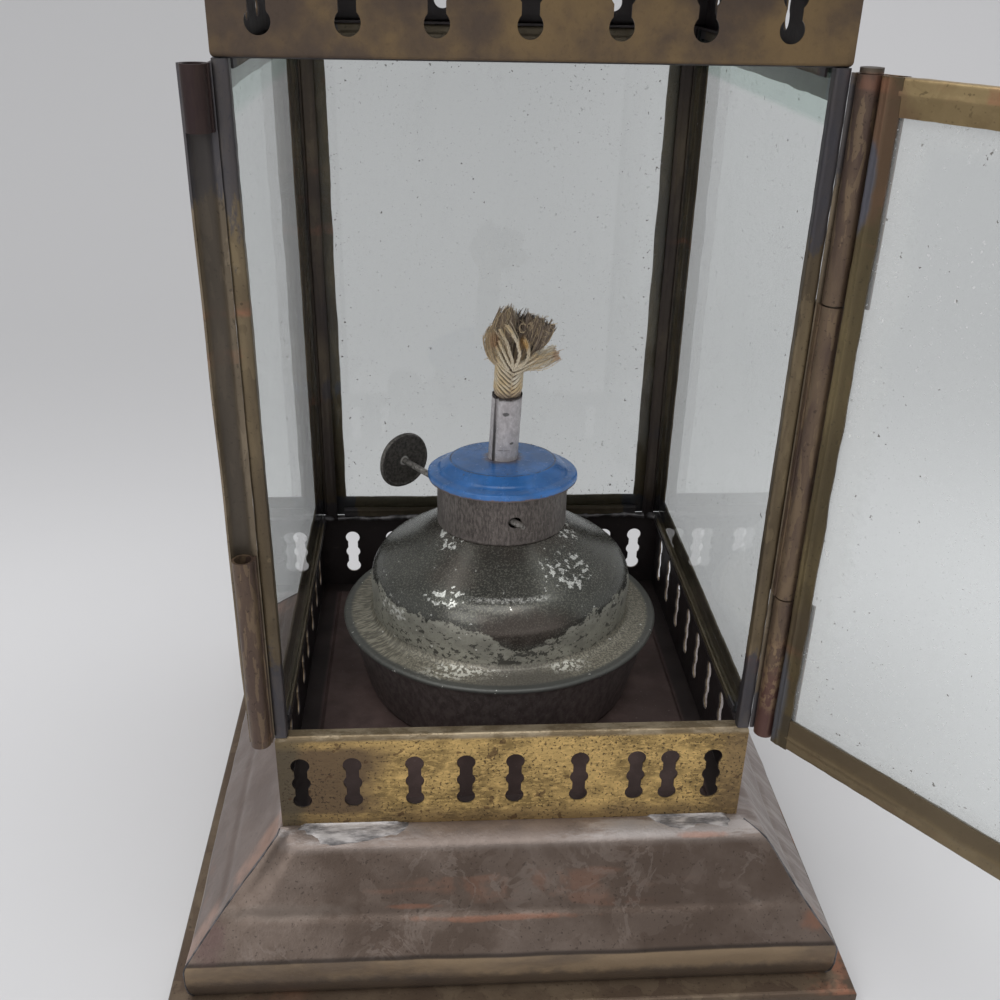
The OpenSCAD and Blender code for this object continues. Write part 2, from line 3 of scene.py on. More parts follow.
import bmesh
import bpy
import numpy as np
from bpy.props import FloatProperty, FloatVectorProperty, IntProperty, PointerProperty
from mathutils import Matrix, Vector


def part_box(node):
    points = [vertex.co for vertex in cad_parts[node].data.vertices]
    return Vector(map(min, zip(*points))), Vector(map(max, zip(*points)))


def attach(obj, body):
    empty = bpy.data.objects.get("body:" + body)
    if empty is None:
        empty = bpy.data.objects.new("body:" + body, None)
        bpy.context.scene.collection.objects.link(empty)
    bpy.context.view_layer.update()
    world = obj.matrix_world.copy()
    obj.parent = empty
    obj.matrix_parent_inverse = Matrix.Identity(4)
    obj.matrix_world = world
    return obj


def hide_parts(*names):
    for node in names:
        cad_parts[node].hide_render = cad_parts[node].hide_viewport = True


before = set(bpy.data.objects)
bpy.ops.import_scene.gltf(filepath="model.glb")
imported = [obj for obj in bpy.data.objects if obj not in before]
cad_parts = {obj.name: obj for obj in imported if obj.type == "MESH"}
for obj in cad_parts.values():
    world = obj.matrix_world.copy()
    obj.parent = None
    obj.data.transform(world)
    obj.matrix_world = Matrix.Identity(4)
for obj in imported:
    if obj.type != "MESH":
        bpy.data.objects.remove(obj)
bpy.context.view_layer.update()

bl_info = {
    "name": "Square kerosene lantern",
    "version": (1, 0, 0),
    "blender": (4, 5, 0),
    "location": "3D View > Sidebar > Lantern",
    "description": "Sheet brass, glass, lamp and studio of a square kerosene lantern",
    "category": "Object",
}

MM = 0.001


# Settings

def length(name, text, value):
    """A length in metres that a user may change."""
    return FloatProperty(name=name, description=text, default=value, min=0.0,
                         unit="LENGTH", subtype="DISTANCE", precision=5)


def paint(name, text, value):
    """A colour that a user may change."""
    return FloatVectorProperty(name=name, description=text, default=value, size=3,
                               min=0.0, max=1.0, subtype="COLOR")


class LanternSheetSettings(bpy.types.PropertyGroup):
    """Sizes of the hand-made sheet metal."""
    sheet: length("Sheet", "Thickness of the brass sheet", 0.8 * MM)
    channel_wall: length("Channel wall", "Thickness of the folded channels", 0.6 * MM)
    channel_width: length("Channel width", "Width of the folded channels", 8.6 * MM)
    channel_depth: length("Channel depth", "Thickness of a folded channel over its glass", 4.0 * MM)
    sway: length("Sway", "How far a channel strays from its straight line", 0.22 * MM)
    ragged_lip: length("Ragged lip", "Unevenness of a channel's cut edges", 0.2 * MM)
    dent: length("Dents", "Depth of the dents in the skirt and roof", 0.55 * MM)
    bead: length("Solder bead", "Radius of the solder along the hips", 0.30 * MM)
    inner_flange: length("Inner flange", "Width of the inner flanges of the side frames", 2.8 * MM)
    back_flange: length("Back flange", "Width of the inner flanges of the back frame", 4.7 * MM)
    leaf_gap: length("Leaf gap", "From a knuckle to the outer face of the strip behind it", 1.0 * MM)


class LanternLampSettings(bpy.types.PropertyGroup):
    """Sizes of the loose lamp and its wick."""
    tin: length("Tinplate", "Thickness of the lamp's tinplate", 0.6 * MM)
    dome_radius: length("Dome radius", "Radius of the dome at its widest", 48.6 * MM)
    dome_foot: length("Dome foot", "Radius of the dome where it meets its flange", 48.0 * MM)
    dome_bend: length("Dome bend", "Radius of the dome's shoulder", 13.2 * MM)
    seam_flare: length("Seam flare", "How far the rolled seam stands out past its plain radius", 0.8 * MM)
    collar_flare: length("Collar flare", "How far the collar stands out past its plain radius", 0.6 * MM)
    tilt: FloatProperty(name="Tilt", description="Slope of the lamp's seam and dome, front side up", default=0.05)
    cap_tilt: FloatProperty(name="Cap tilt", description="Slope of the painted cap, front side up", default=0.092)
    cup_foot: length("Cup foot", "Radius of the lamp's bottom", 51.0 * MM)
    plateau: length("Cap plateau", "Radius of the painted cap's flat top", 18.8 * MM)
    tube_wall: length("Tube wall", "Thickness of the rolled wick tube", 0.4 * MM)
    tube_lean: length("Tube lean", "How far the wick tube leans at its top", 1.1 * MM)
    braid_radius: length("Braid radius", "Radius of the braided wick outside its tube", 5.1 * MM)
    yarn_radius: length("Yarn radius", "Radius of one yarn of the braid", 0.47 * MM)
    fibre_radius: length("Fibre radius", "Radius of one loose fibre of the tuft", 0.19 * MM)
    fibres: IntProperty(name="Fibres", description="Fibres in one lock of the tuft",
                        default=5, min=2, max=30)


class LanternFinishSettings(bpy.types.PropertyGroup):
    """Colours of the metals, paint, cotton and glass."""
    bright_brass: paint("Bright brass", "Worn brass of the front band", (0.60, 0.41, 0.16))
    olive_brass: paint("Olive brass", "Brass of the channels", (0.115, 0.085, 0.050))
    brown_brass: paint("Brown brass", "Patina of the skirt and the roof", (0.100, 0.070, 0.054))
    pale_patina: paint("Pale patina", "Pale stains on the patina", (0.200, 0.155, 0.130))
    dark_patina: paint("Dark patina", "Near black patina inside", (0.028, 0.021, 0.021))
    copper: paint("Copper", "Copper coloured streaks", (0.40, 0.17, 0.10))
    solder: paint("Solder", "Bare solder", (0.40, 0.375, 0.365))
    seam: paint("Old solder", "Dark solder of the seams", (0.115, 0.108, 0.112))
    tinned: paint("Tinned brass", "Blue-grey film of solder on the brass", (0.062, 0.064, 0.082))
    floor_patina: paint("Floor patina", "Dull reddish brown of the floor plate", (0.100, 0.066, 0.060))
    tinplate: paint("Tinplate", "Dark tinplate of the lamp", (0.105, 0.103, 0.094))
    worn_tin: paint("Worn tinplate", "Tan zone and flange of the lamp", (0.40, 0.385, 0.325))
    # This colour also paints the highlight arc on the dome's shoulder.
    silver: paint("Bare tin", "Flecks of bare tin", (0.80, 0.79, 0.74))
    enamel: paint("Enamel", "Blue paint of the burner cap", (0.042, 0.165, 0.45))
    rust: paint("Rust", "Rust and dust on the cap", (0.16, 0.115, 0.09))
    pale_cotton: paint("Pale cotton", "Unsoiled cotton of the wick", (0.82, 0.74, 0.60))
    cotton: paint("Cotton", "Cotton of the wick", (0.76, 0.59, 0.36))
    singed: paint("Singed cotton", "Smoked wool of the wick's tip", (0.37, 0.285, 0.215))
    burnt: paint("Burnt cotton", "Burnt ends of the wick", (0.085, 0.062, 0.045))
    glass: paint("Glass", "What one face of a pane lets through", (0.925, 0.938, 0.932))


class LanternStudioSettings(bpy.types.PropertyGroup):
    """Camera, floor and lights."""
    place: FloatVectorProperty(name="Camera place", description="Where the camera stands",
                               default=(-0.02515, -0.34299, 0.30666), unit="LENGTH")
    yaw: FloatProperty(name="Yaw", description="Turn of the camera to its right",
                       default=radians(3.99), unit="ROTATION")
    pitch: FloatProperty(name="Pitch", description="Tilt of the camera upwards",
                         default=radians(-26.91), unit="ROTATION")
    roll: FloatProperty(name="Roll", description="Roll of the camera",
                        default=radians(1.275), unit="ROTATION")
    lens: FloatProperty(name="Lens", description="Focal length on a 36 mm sensor, in millimetres",
                        default=38.77, min=10.0)
    floor: paint("Floor", "Colour of the floor and the backdrop", (0.645, 0.640, 0.648))
    sky: FloatProperty(name="Sky", description="Strength of the light from all around",
                       default=0.52, min=0.0)
    key: FloatProperty(name="Key", description="Power of the large lamp overhead", default=26.0,
                       min=0.0, unit="POWER")
    front: FloatProperty(name="Front", description="Power of the lamp in front", default=7.0,
                         min=0.0, unit="POWER")


def settings(group):
    """One of the groups of settings: sheet, lamp, finish or studio."""
    return getattr(bpy.context.scene, "lantern_" + group)


def toned(share, colour):
    """A colour made darker or lighter."""
    return tuple(min(1.0, share * part) for part in colour)


# Shapes

def ripple(points, size, seed, waves=12):
    """Smooth unevenness of about -1 to 1: the mean of sine waves that run through space in
    random directions, each about size long from crest to crest."""
    draw = np.random.default_rng(seed)
    heading = draw.normal(size=(waves, 3))
    heading /= np.linalg.norm(heading, axis=1, keepdims=True)
    heading *= draw.uniform(0.6, 1.5, (waves, 1)) * 2 * pi / size
    phase = draw.uniform(0, 2 * pi, waves)
    return np.sin(points @ heading.T + phase).mean(axis=-1) * 2.2


def ease(value, low, high):
    """0 up to low, 1 from high, and the smooth cubic 3t2 - 2t3 between them."""
    t = np.clip((value - low) / (high - low), 0.0, 1.0)
    return t * t * (3 - 2 * t)


def spread(corners, count):
    """Points at equal distances along a broken line."""
    corners = np.asarray(corners, float)
    steps = np.linalg.norm(np.diff(corners, axis=0), axis=1)
    run = np.concatenate([[0.0], np.cumsum(steps)])
    at = np.linspace(0.0, run[-1], count)
    return np.stack([np.interp(at, run, column) for column in corners.T], axis=1)


def soften(line, passes):
    """Rounds the corners of a line: each point moves half way to the middle of its neighbours,
    passes times over, and the ends stay."""
    line = line.copy()
    for _ in range(passes):
        line[1:-1] = 0.5 * line[1:-1] + 0.25 * (line[:-2] + line[2:])
    return line


def right_side(line):
    """Unit vectors square to a flat line, on its right-hand side."""
    along = np.gradient(line, axis=0)
    along /= np.linalg.norm(along, axis=1, keepdims=True)
    return np.stack([along[:, 1], -along[:, 0]], axis=1)


def arc(centre, radius, start, end, count):
    """Points of an arc: the centre plus radius times the cosine and sine of the angle."""
    turn = np.radians(np.linspace(start, end, count))
    return np.stack([centre[0] + radius * np.cos(turn), centre[1] + radius * np.sin(turn)], axis=1)


def turned(points, degrees):
    """The points turned about the vertical axis."""
    c, s = cos(radians(degrees)), sin(radians(degrees))
    x, y, z = points[..., 0], points[..., 1], points[..., 2]
    return np.stack([c * x - s * y, s * x + c * y, z], axis=-1)


def quads(index):
    """Four-cornered faces between the rows and columns of a grid of point numbers."""
    corners = (index[:-1, :-1], index[1:, :-1], index[1:, 1:], index[:-1, 1:])
    return np.stack(corners, axis=-1).reshape(-1, 4)


def closed(index):
    """The grid with its first column repeated at the end, so that it closes round."""
    return np.concatenate([index, index[:, :1]], axis=1)


def piece(name, points, faces, marks=None, crease=35):
    """A mesh object at the origin from an array of points and one of four-cornered faces.
    Points that coincide at a pole or a seam are merged, and all faces are turned outwards."""
    mesh = bpy.data.meshes.new(name)
    mesh.vertices.add(len(points))
    mesh.vertices.foreach_set("co", np.ascontiguousarray(points, np.float32).ravel())
    mesh.loops.add(faces.size)
    mesh.loops.foreach_set("vertex_index", np.ascontiguousarray(faces, np.int32).ravel())
    mesh.polygons.add(len(faces))
    mesh.polygons.foreach_set("loop_start", np.arange(0, faces.size, 4, dtype=np.int32))
    for mark, values in (marks or {}).items():
        layer = mesh.attributes.new(mark, "FLOAT", "POINT")
        layer.data.foreach_set("value", np.ascontiguousarray(values, np.float32).ravel())
    mesh.update(calc_edges=True)
    build = bmesh.new()
    build.from_mesh(mesh)
    bmesh.ops.remove_doubles(build, verts=build.verts, dist=1e-7)
    bmesh.ops.recalc_face_normals(build, faces=build.faces)
    build.to_mesh(mesh)
    build.free()
    mesh.shade_smooth()
    mesh.set_sharp_from_angle(angle=radians(crease))
    item = bpy.data.objects.new(name, mesh)
    bpy.context.scene.collection.objects.link(item)
    return item


def shell(outer, inner, round_way=False):
    """Closed sheet between two grids of points of the same size: the outer face, the inner
    face, and strips that close the edges. With round_way the columns close round."""
    rows, columns = outer.shape[:2]
    index = np.arange(rows * columns).reshape(rows, columns)
    below = index + rows * columns
    if round_way:
        index, below = closed(index), closed(below)
    edges = [(index[0], below[0]), (index[-1], below[-1])]
    if not round_way:
        edges += [(index[:, 0], below[:, 0]), (index[:, -1], below[:, -1])]
    faces = [quads(index), quads(below)[:, ::-1]] + [quads(np.stack(pair)) for pair in edges]
    points = np.concatenate([outer.reshape(-1, 3), inner.reshape(-1, 3)])
    return points, np.concatenate(faces)


def strands(paths, radius, sides, up=(0.0, 0.0, 1.0)):
    """Tubes round many paths at once. At each station a circle stands square to the path: the
    station plus radius times the cosine along one side vector and the sine along the other.
    The radius falls to nothing at both ends, which closes the tubes."""
    along = np.gradient(paths, axis=-2)
    along /= np.linalg.norm(along, axis=-1, keepdims=True)
    side = np.cross(along, np.asarray(up, float))
    side /= np.linalg.norm(side, axis=-1, keepdims=True)
    lift = np.cross(side, along)
    turn = 2 * pi * np.arange(sides) / sides
    ring = (np.cos(turn)[:, None] * side[..., None, :] + np.sin(turn)[:, None] * lift[..., None, :])
    points = paths[..., None, :] + radius[..., None, None] * ring
    first = paths[..., :1, None, :] + 0 * points[..., :1, :, :]
    last = paths[..., -1:, None, :] + 0 * points[..., :1, :, :]
    points = np.concatenate([first, points, last], axis=-3)
    count, stations = points.shape[0], points.shape[1]
    index = np.arange(count * stations * sides).reshape(count, stations, sides)
    index = np.concatenate([index, index[:, :, :1]], axis=2)
    corners = (index[:, :-1, :-1], index[:, 1:, :-1], index[:, 1:, 1:], index[:, :-1, 1:])
    return points.reshape(-1, 3), np.stack(corners, axis=-1).reshape(-1, 4)


def revolved(line, centre, steps=160, wobble=None):
    """A line of radius and height turned round a vertical axis through centre: x and y are
    the radius times the cosine and sine of the turn. wobble adds to the radius."""
    turn = np.linspace(0, 2 * pi, steps, endpoint=False)
    radius = np.repeat(line[:, :1], steps, axis=1)
    if wobble is not None:
        radius = radius + wobble * np.minimum(1.0, radius / (5 * MM))
    height = np.repeat(line[:, 1:], steps, axis=1)
    return np.stack([centre[0] + radius * np.cos(turn), centre[1] + radius * np.sin(turn),
                     height], axis=-1)


def revolved_sheet(line, wall, centre, steps=160, seed=0, dent=0.0, size=30 * MM):
    """A sheet whose outer face is the line turned round the axis, and whose inner face lies
    wall to the left of it. Small dents push both faces in or out together."""
    inner = line - wall * right_side(line)
    inner[:, 0] = np.maximum(inner[:, 0], 0.0)
    wobble = dent * ripple(revolved(line, centre, steps), size, seed)
    return shell(revolved(line, centre, steps, wobble), revolved(inner, centre, steps, wobble), True)


def bored(item, cutter):
    """Cuts one closed mesh out of another with a Boolean modifier, and applies it."""
    cut = item.modifiers.new("bore", "BOOLEAN")
    cut.operation = "DIFFERENCE"
    cut.solver = "EXACT"
    cut.object = cutter
    bpy.context.view_layer.update()
    done = bpy.data.meshes.new_from_object(item.evaluated_get(bpy.context.evaluated_depsgraph_get()))
    if len(done.polygons) < 10:
        raise RuntimeError("the bore left nothing of " + item.name)
    done.set_sharp_from_angle(angle=radians(35))
    item.modifiers.clear()
    item.data = done
    bpy.data.objects.remove(cutter)


def joined(parts):
    """Points and faces of several meshes as one."""
    starts = np.cumsum([0] + [len(points) for points, _ in parts[:-1]])
    faces = [part[1] + start for part, start in zip(parts, starts)]
    return np.concatenate([part[0] for part in parts]), np.concatenate(faces)


# Finishes

class Finish:
    """A material being built: each method adds a node and hands back its result."""

    def __init__(self, name):
        self.material = bpy.data.materials.new(name)
        self.material.use_nodes = True
        self.tree = self.material.node_tree
        self.tree.nodes.clear()
        self.output = self.tree.nodes.new("ShaderNodeOutputMaterial")
        self.shader = self.tree.nodes.new("ShaderNodeBsdfPrincipled")
        self.tree.links.new(self.shader.outputs["BSDF"], self.output.inputs["Surface"])
        self.place = self.tree.nodes.new("ShaderNodeTexCoord").outputs["Object"]

    def feed(self, socket, value):
        """Links a result to a socket, or sets the socket's own value."""
        if isinstance(value, bpy.types.NodeSocket):
            self.tree.links.new(value, socket)
        elif hasattr(value, "__len__") and len(value) == 3 and socket.type == "RGBA":
            socket.default_value = (*value, 1.0)
        else:
            socket.default_value = value

    def node(self, kind, inputs, **values):
        node = self.tree.nodes.new(kind)
        for key, value in values.items():
            setattr(node, key, value)
        for key, value in inputs.items():
            self.feed(node.inputs[key], value)
        return node

    def set(self, **values):
        """Feeds the shader's sockets; an underscore stands for a space."""
        for key, value in values.items():
            self.feed(self.shader.inputs[key.replace("_", " ")], value)

    def math(self, kind, a, b=0.0, c=0.0):
        node = self.tree.nodes.new("ShaderNodeMath")
        node.operation = kind
        for socket, value in zip(node.inputs, (a, b, c)):
            self.feed(socket, value)
        return node.outputs[0]

    def times(self, a, b):
        return self.math("MULTIPLY", a, b)

    def most(self, a, b):
        return self.math("MAXIMUM", a, b)

    def step(self, value, low, high):
        """Smooth step from 0 at low to 1 at high; low may be the larger."""
        node = self.node("ShaderNodeMapRange", {"Value": value, "From Min": low, "From Max": high},
                         interpolation_type="SMOOTHSTEP")
        return node.outputs["Result"]

    def grain(self, size, detail=3.0, rough=0.55, stretch=(1, 1, 1), shift=0.0, warp=0.0):
        """Noise whose lumps are about size long, stretched along an axis where stretch is
        less than 1."""
        scale = tuple(part / size for part in stretch)
        spot = self.node("ShaderNodeMapping", {"Vector": self.place, "Scale": scale,
                                               "Location": (shift, shift * 0.7, shift * 1.3)})
        noise = self.node("ShaderNodeTexNoise", {"Vector": spot.outputs[0], "Scale": 1.0,
                                                 "Detail": detail, "Roughness": rough,
                                                 "Distortion": warp})
        return noise.outputs["Fac"]

    def spun(self, centre, around, out, detail=4.0, rough=0.6):
        """Noise on a turned piece: its lumps are about around long round the axis, at the given
        distance of 50 mm from it, and about out long away from the axis and upwards."""
        gap = self.node("ShaderNodeVectorMath", {0: self.place, 1: (*centre, 0.0)}, operation="SUBTRACT")
        parts = self.node("ShaderNodeSeparateXYZ", {"Vector": gap.outputs[0]})
        turn = self.math("ARCTAN2", parts.outputs["X"], self.math("MULTIPLY", parts.outputs["Y"], -1.0))
        flat = self.node("ShaderNodeVectorMath", {0: gap.outputs[0], 1: (1.0, 1.0, 0.0)}, operation="MULTIPLY")
        far = self.node("ShaderNodeVectorMath", {0: flat.outputs[0]}, operation="LENGTH").outputs["Value"]
        spot = self.node("ShaderNodeCombineXYZ", {"X": self.times(turn, 50 * MM / around),
                                                  "Y": self.times(far, 1.0 / out),
                                                  "Z": self.times(parts.outputs["Z"], 1.0 / out)})
        noise = self.node("ShaderNodeTexNoise", {"Vector": spot.outputs[0], "Scale": 1.0, "Detail": detail,
                                                 "Roughness": rough})
        return noise.outputs["Fac"], far

    def axis(self, letter):
        """One coordinate of the place, in metres."""
        return self.node("ShaderNodeSeparateXYZ", {"Vector": self.place}).outputs[letter]

    def mark(self, name):
        """A value that the mesh carries at its points."""
        return self.node("ShaderNodeAttribute", {}, attribute_name=name).outputs["Fac"]

    def blend(self, share, a, b):
        """Colour a turned into colour b by share."""
        node = self.node("ShaderNodeMix", {}, data_type="RGBA")
        self.feed(node.inputs["Factor"], share)
        sockets = [s for s in node.inputs if s.type == "RGBA"]
        self.feed(sockets[0], a)
        self.feed(sockets[1], b)
        return [s for s in node.outputs if s.type == "RGBA"][0]

    def between(self, share, low, high):
        """A number between low and high by share."""
        return self.node("ShaderNodeMapRange", {"Value": share, "To Min": low,
                                                "To Max": high}).outputs["Result"]

    def bump(self, height, depth, strength=1.0):
        """Raises the surface by height times depth, in the light only."""
        inputs = {"Height": height, "Distance": depth, "Strength": strength}
        node = self.node("ShaderNodeBump", inputs)
        self.feed(self.shader.inputs["Normal"], node.outputs["Normal"])

    def near(self, centre, reach, edge=0.35, size=5 * MM, ragged=0.5):
        """1 within reach of a point and 0 outside it, with an uneven edge."""
        gap = self.node("ShaderNodeVectorMath", {0: self.place, 1: centre}, operation="SUBTRACT")
        part = self.node("ShaderNodeVectorMath", {0: gap.outputs[0], 1: reach}, operation="DIVIDE")
        far = self.node("ShaderNodeVectorMath", {0: part.outputs[0]}, operation="LENGTH")
        noise = self.between(self.grain(size, 4.0, 0.6), -ragged, ragged)
        return self.step(self.math("ADD", far.outputs["Value"], noise), 1.0 + edge / 2, 1.0 - edge / 2)


def weathered(name, dull, pale, streak, tone, metal=0.6, shine=(0.34, 0.6), lumps=26 * MM,
              marks=False, soot_and_shade=None, tinned=None, stretch=(1, 1, 1), streaks=0.55, change=None):
    """Patinated sheet: clouds and sharp-edged stains of a paler patina over a dull one, dark
    specks, copper streaks, and on marked pieces a second tone next to the ridge, films of
    solder, and a near black mark that is soot on the channels and painted shade on the hinge
    leaves. change adds what belongs to one piece only."""
    f = Finish(name)
    clouds = f.step(f.grain(lumps, 5.0, 0.6, stretch), 0.40, 0.66)
    stains = f.step(f.grain(lumps * 0.42, 4.0, 0.55, stretch, 3.1, 0.4), 0.535, 0.56)
    colour = f.blend(f.times(clouds, 0.55), dull, pale)
    colour = f.blend(f.times(stains, tone), colour, pale)
    lines = f.step(f.grain(34 * MM, 3.0, 0.5, (0.35, 0.35, 3.4), 7.3), 0.60, 0.68)
    broken = f.step(f.grain(9 * MM, 3.0, 0.6, (1, 1, 1), 1.7), 0.42, 0.6)
    colour = f.blend(f.times(f.times(lines, broken), streaks), colour, streak)
    specks = f.step(f.grain(1.1 * MM, 2.0, 0.5, (1, 1, 1), 5.9), 0.63, 0.70)
    colour = f.blend(f.times(specks, 0.55), colour, toned(0.35, dull))
    rough = f.between(f.grain(7 * MM, 4.0, 0.65, (1, 1, 1), 2.3), shine[0], shine[1])
    if change:
        colour = change(f, colour)
    if marks:
        colour = f.blend(f.times(f.mark("lip"), 0.45), colour, toned(0.55, dull))
        ragged = f.between(f.grain(6 * MM, 6.0, 0.7, (1, 1, 0.35), 9.1), -0.6, 0.6)
        film = f.step(f.math("ADD", f.mark("tinned"), ragged), 0.46, 0.60)
        patchy = f.between(f.grain(3 * MM, 4.0, 0.6, (1, 1, 0.4), 10.3), 0.55, 1.0)
        colour = f.blend(f.times(film, patchy), colour, tinned)
        # The soot mark is real soot on the channels and painted shade on the hinge leaves.
        colour = f.blend(f.times(f.mark("soot_and_shade"), 0.93), colour, soot_and_shade)
    f.set(Base_Color=colour, Roughness=rough, Metallic=metal)
    height = f.math("ADD", f.times(f.grain(4 * MM, 4.0, 0.6, stretch, 4.4), 0.6),
                    f.times(f.grain(0.7 * MM, 2.0, 0.5, (1, 1, 1), 8.8), 0.25))
    f.bump(height, 0.35 * MM, 0.55)
    return f.material


def gallery_finish(name, outside, cloud, inside, half, tone, specked):
    """Pierced wall: patina with clouds outside, near black inside, with the side told from the
    distance to the middle of the lantern."""
    f = Finish(name)
    out = f.step(f.most(f.math("ABSOLUTE", f.axis("X")), f.math("ABSOLUTE", f.axis("Y"))),
                 half - 0.6 * MM, half - 0.25 * MM)
    clouds = f.step(f.grain(22 * MM, 5.0, 0.6), 0.36, 0.66)
    colour = f.blend(f.times(clouds, tone), outside, cloud)
    specks = f.step(f.grain(1.3 * MM, 3.0, 0.6, (1, 1, 1), 4.0), 0.56, 0.66)
    colour = f.blend(f.times(specks, specked), colour, toned(0.4, outside))
    dust = f.step(f.grain(3 * MM, 5.0, 0.7, (1, 1, 1), 6.6), 0.60, 0.72)
    dark = f.blend(f.times(dust, 0.5), inside, toned(2.6, inside))
    f.set(Base_Color=f.blend(out, dark, colour), Metallic=f.between(out, 0.15, 0.6),
          Roughness=f.between(f.grain(6 * MM, 4.0, 0.6), 0.36, 0.66))
    f.bump(f.grain(2.6 * MM, 4.0, 0.65), 0.3 * MM, 0.5)
    return f.material


def front_band_finish(c, half, base, top):
    """Worn bright brass: dark specks and scratches, brown towards the left end and the lower
    edge, a greyer rolled edge on top, and near black inside."""
    f = Finish("worn front band")
    x, z = f.axis("X"), f.axis("Z")
    patches = f.step(f.grain(10 * MM, 6.0, 0.68, (0.8, 1, 1.3)), 0.38, 0.60)
    colour = f.blend(patches, toned(0.48, c.bright_brass), c.bright_brass)
    glint = f.step(f.grain(2.0 * MM, 5.0, 0.7, (0.6, 1, 1.4), 2.2), 0.47, 0.62)
    colour = f.blend(f.times(glint, 0.55), colour, toned(1.45, c.bright_brass))
    left = f.step(f.math("ADD", x, f.between(f.grain(16 * MM, 3.0, 0.6), -14 * MM, 14 * MM)),
                  -34 * MM, -52 * MM)
    low = f.step(f.math("ADD", z, f.between(f.grain(9 * MM, 3.0, 0.6), -4 * MM, 4 * MM)),
                 base + 8 * MM, base + 2 * MM)
    right = f.step(f.math("ADD", x, f.between(f.grain(12 * MM, 3.0, 0.6), -8 * MM, 8 * MM)),
                   58 * MM, 72 * MM)
    height = f.math("ABSOLUTE", f.math("ADD", z, -(base + top) / 2))
    belt = f.step(f.math("ADD", height, f.between(f.grain(7 * MM, 4.0, 0.6), -2 * MM, 2 * MM)), 15 * MM, 12 * MM)
    left = f.times(left, f.between(belt, 0.30, 0.94))
    dull = f.most(f.most(left, f.times(low, 0.6)), f.times(right, 0.7))
    colour = f.blend(dull, colour, (0.150, 0.100, 0.060))
    end = f.step(f.math("ADD", x, f.between(f.grain(6 * MM, 4.0, 0.6), -3 * MM, 3 * MM)), -65 * MM, -71 * MM)
    colour = f.blend(f.times(end, 0.8), colour, (0.105, 0.088, 0.060))
    density = f.between(f.grain(11 * MM, 2.0, 0.5, (1, 1, 1), 7.7), -0.07, 0.07)
    specks = f.step(f.math("ADD", f.grain(0.95 * MM, 3.0, 0.6, (1, 1, 1), 1.3), density), 0.56, 0.64)
    colour = f.blend(f.times(specks, 0.85), colour, (0.055, 0.036, 0.024))
    blots = f.step(f.grain(4.2 * MM, 2.0, 0.5, (1, 1, 1), 12.0), 0.665, 0.70)
    colour = f.blend(f.times(blots, 0.7), colour, (0.10, 0.055, 0.03))
    fold = f.step(z, top - 2.6 * MM, top - 1.1 * MM)
    worn = f.step(f.grain(7 * MM, 5.0, 0.7, (0.5, 1, 1), 3.3), 0.42, 0.6)
    edge = f.blend(worn, (0.20, 0.150, 0.090), (0.36, 0.29, 0.195))
    colour = f.blend(fold, colour, edge)
    face = f.math("ABSOLUTE", f.axis("Y"))
    front = f.step(face, half - 0.6 * MM, half - 0.25 * MM)
    shown = f.most(front, fold)
    colour = f.blend(shown, c.dark_patina, colour)
    f.set(Base_Color=colour, Metallic=f.between(shown, 0.2, 0.78),
          Roughness=f.between(f.grain(4 * MM, 5.0, 0.7, (1, 1, 1), 5.5), 0.30, 0.58))
    scratch = f.grain(2.2 * MM, 4.0, 0.7, (0.5, 1, 2.2), 6.1)
    f.bump(f.math("ADD", scratch, f.times(specks, -0.4)), 0.3 * MM, 0.55)
    return f.material


def floor_finish(c):
    """Dull reddish brown sheet with dust and a darker border."""
    f = Finish("floor patina")
    clouds = f.step(f.grain(24 * MM, 5.0, 0.6), 0.35, 0.7)
    colour = f.blend(clouds, toned(0.8, c.floor_patina), toned(1.6, c.floor_patina))
    dust = f.step(f.grain(1.0 * MM, 2.0, 0.5), 0.68, 0.76)
    colour = f.blend(f.times(dust, 0.4), colour, (0.30, 0.26, 0.24))
    reach = f.most(f.math("ABSOLUTE", f.axis("X")), f.math("ABSOLUTE", f.axis("Y")))
    border = f.step(reach, 66.5 * MM, 68.5 * MM)
    colour = f.blend(f.times(border, 0.8), colour, (0.016, 0.013, 0.013))
    f.set(Base_Color=colour, Metallic=0.25, Roughness=f.between(f.grain(8 * MM, 4.0), 0.42, 0.7))
    f.bump(f.grain(3 * MM, 4.0, 0.6), 0.25 * MM, 0.5)
    return f.material


def solder_finish(name, dark, light, size=6 * MM, stretch=(1, 1, 1)):
    """Wiped solder: smooth and silvery where it is bare, grey where it has dulled."""
    f = Finish(name)
    dulled = f.step(f.grain(size, 5.0, 0.62, stretch), 0.36, 0.64)
    colour = f.blend(dulled, dark, light)
    f.set(Base_Color=colour, Metallic=0.6, Roughness=f.between(f.grain(3 * MM, 4.0), 0.34, 0.6))
    f.bump(f.grain(0.5 * size, 4.0, 0.6, stretch, 3.0), 0.25 * MM, 0.5)
    return f.material


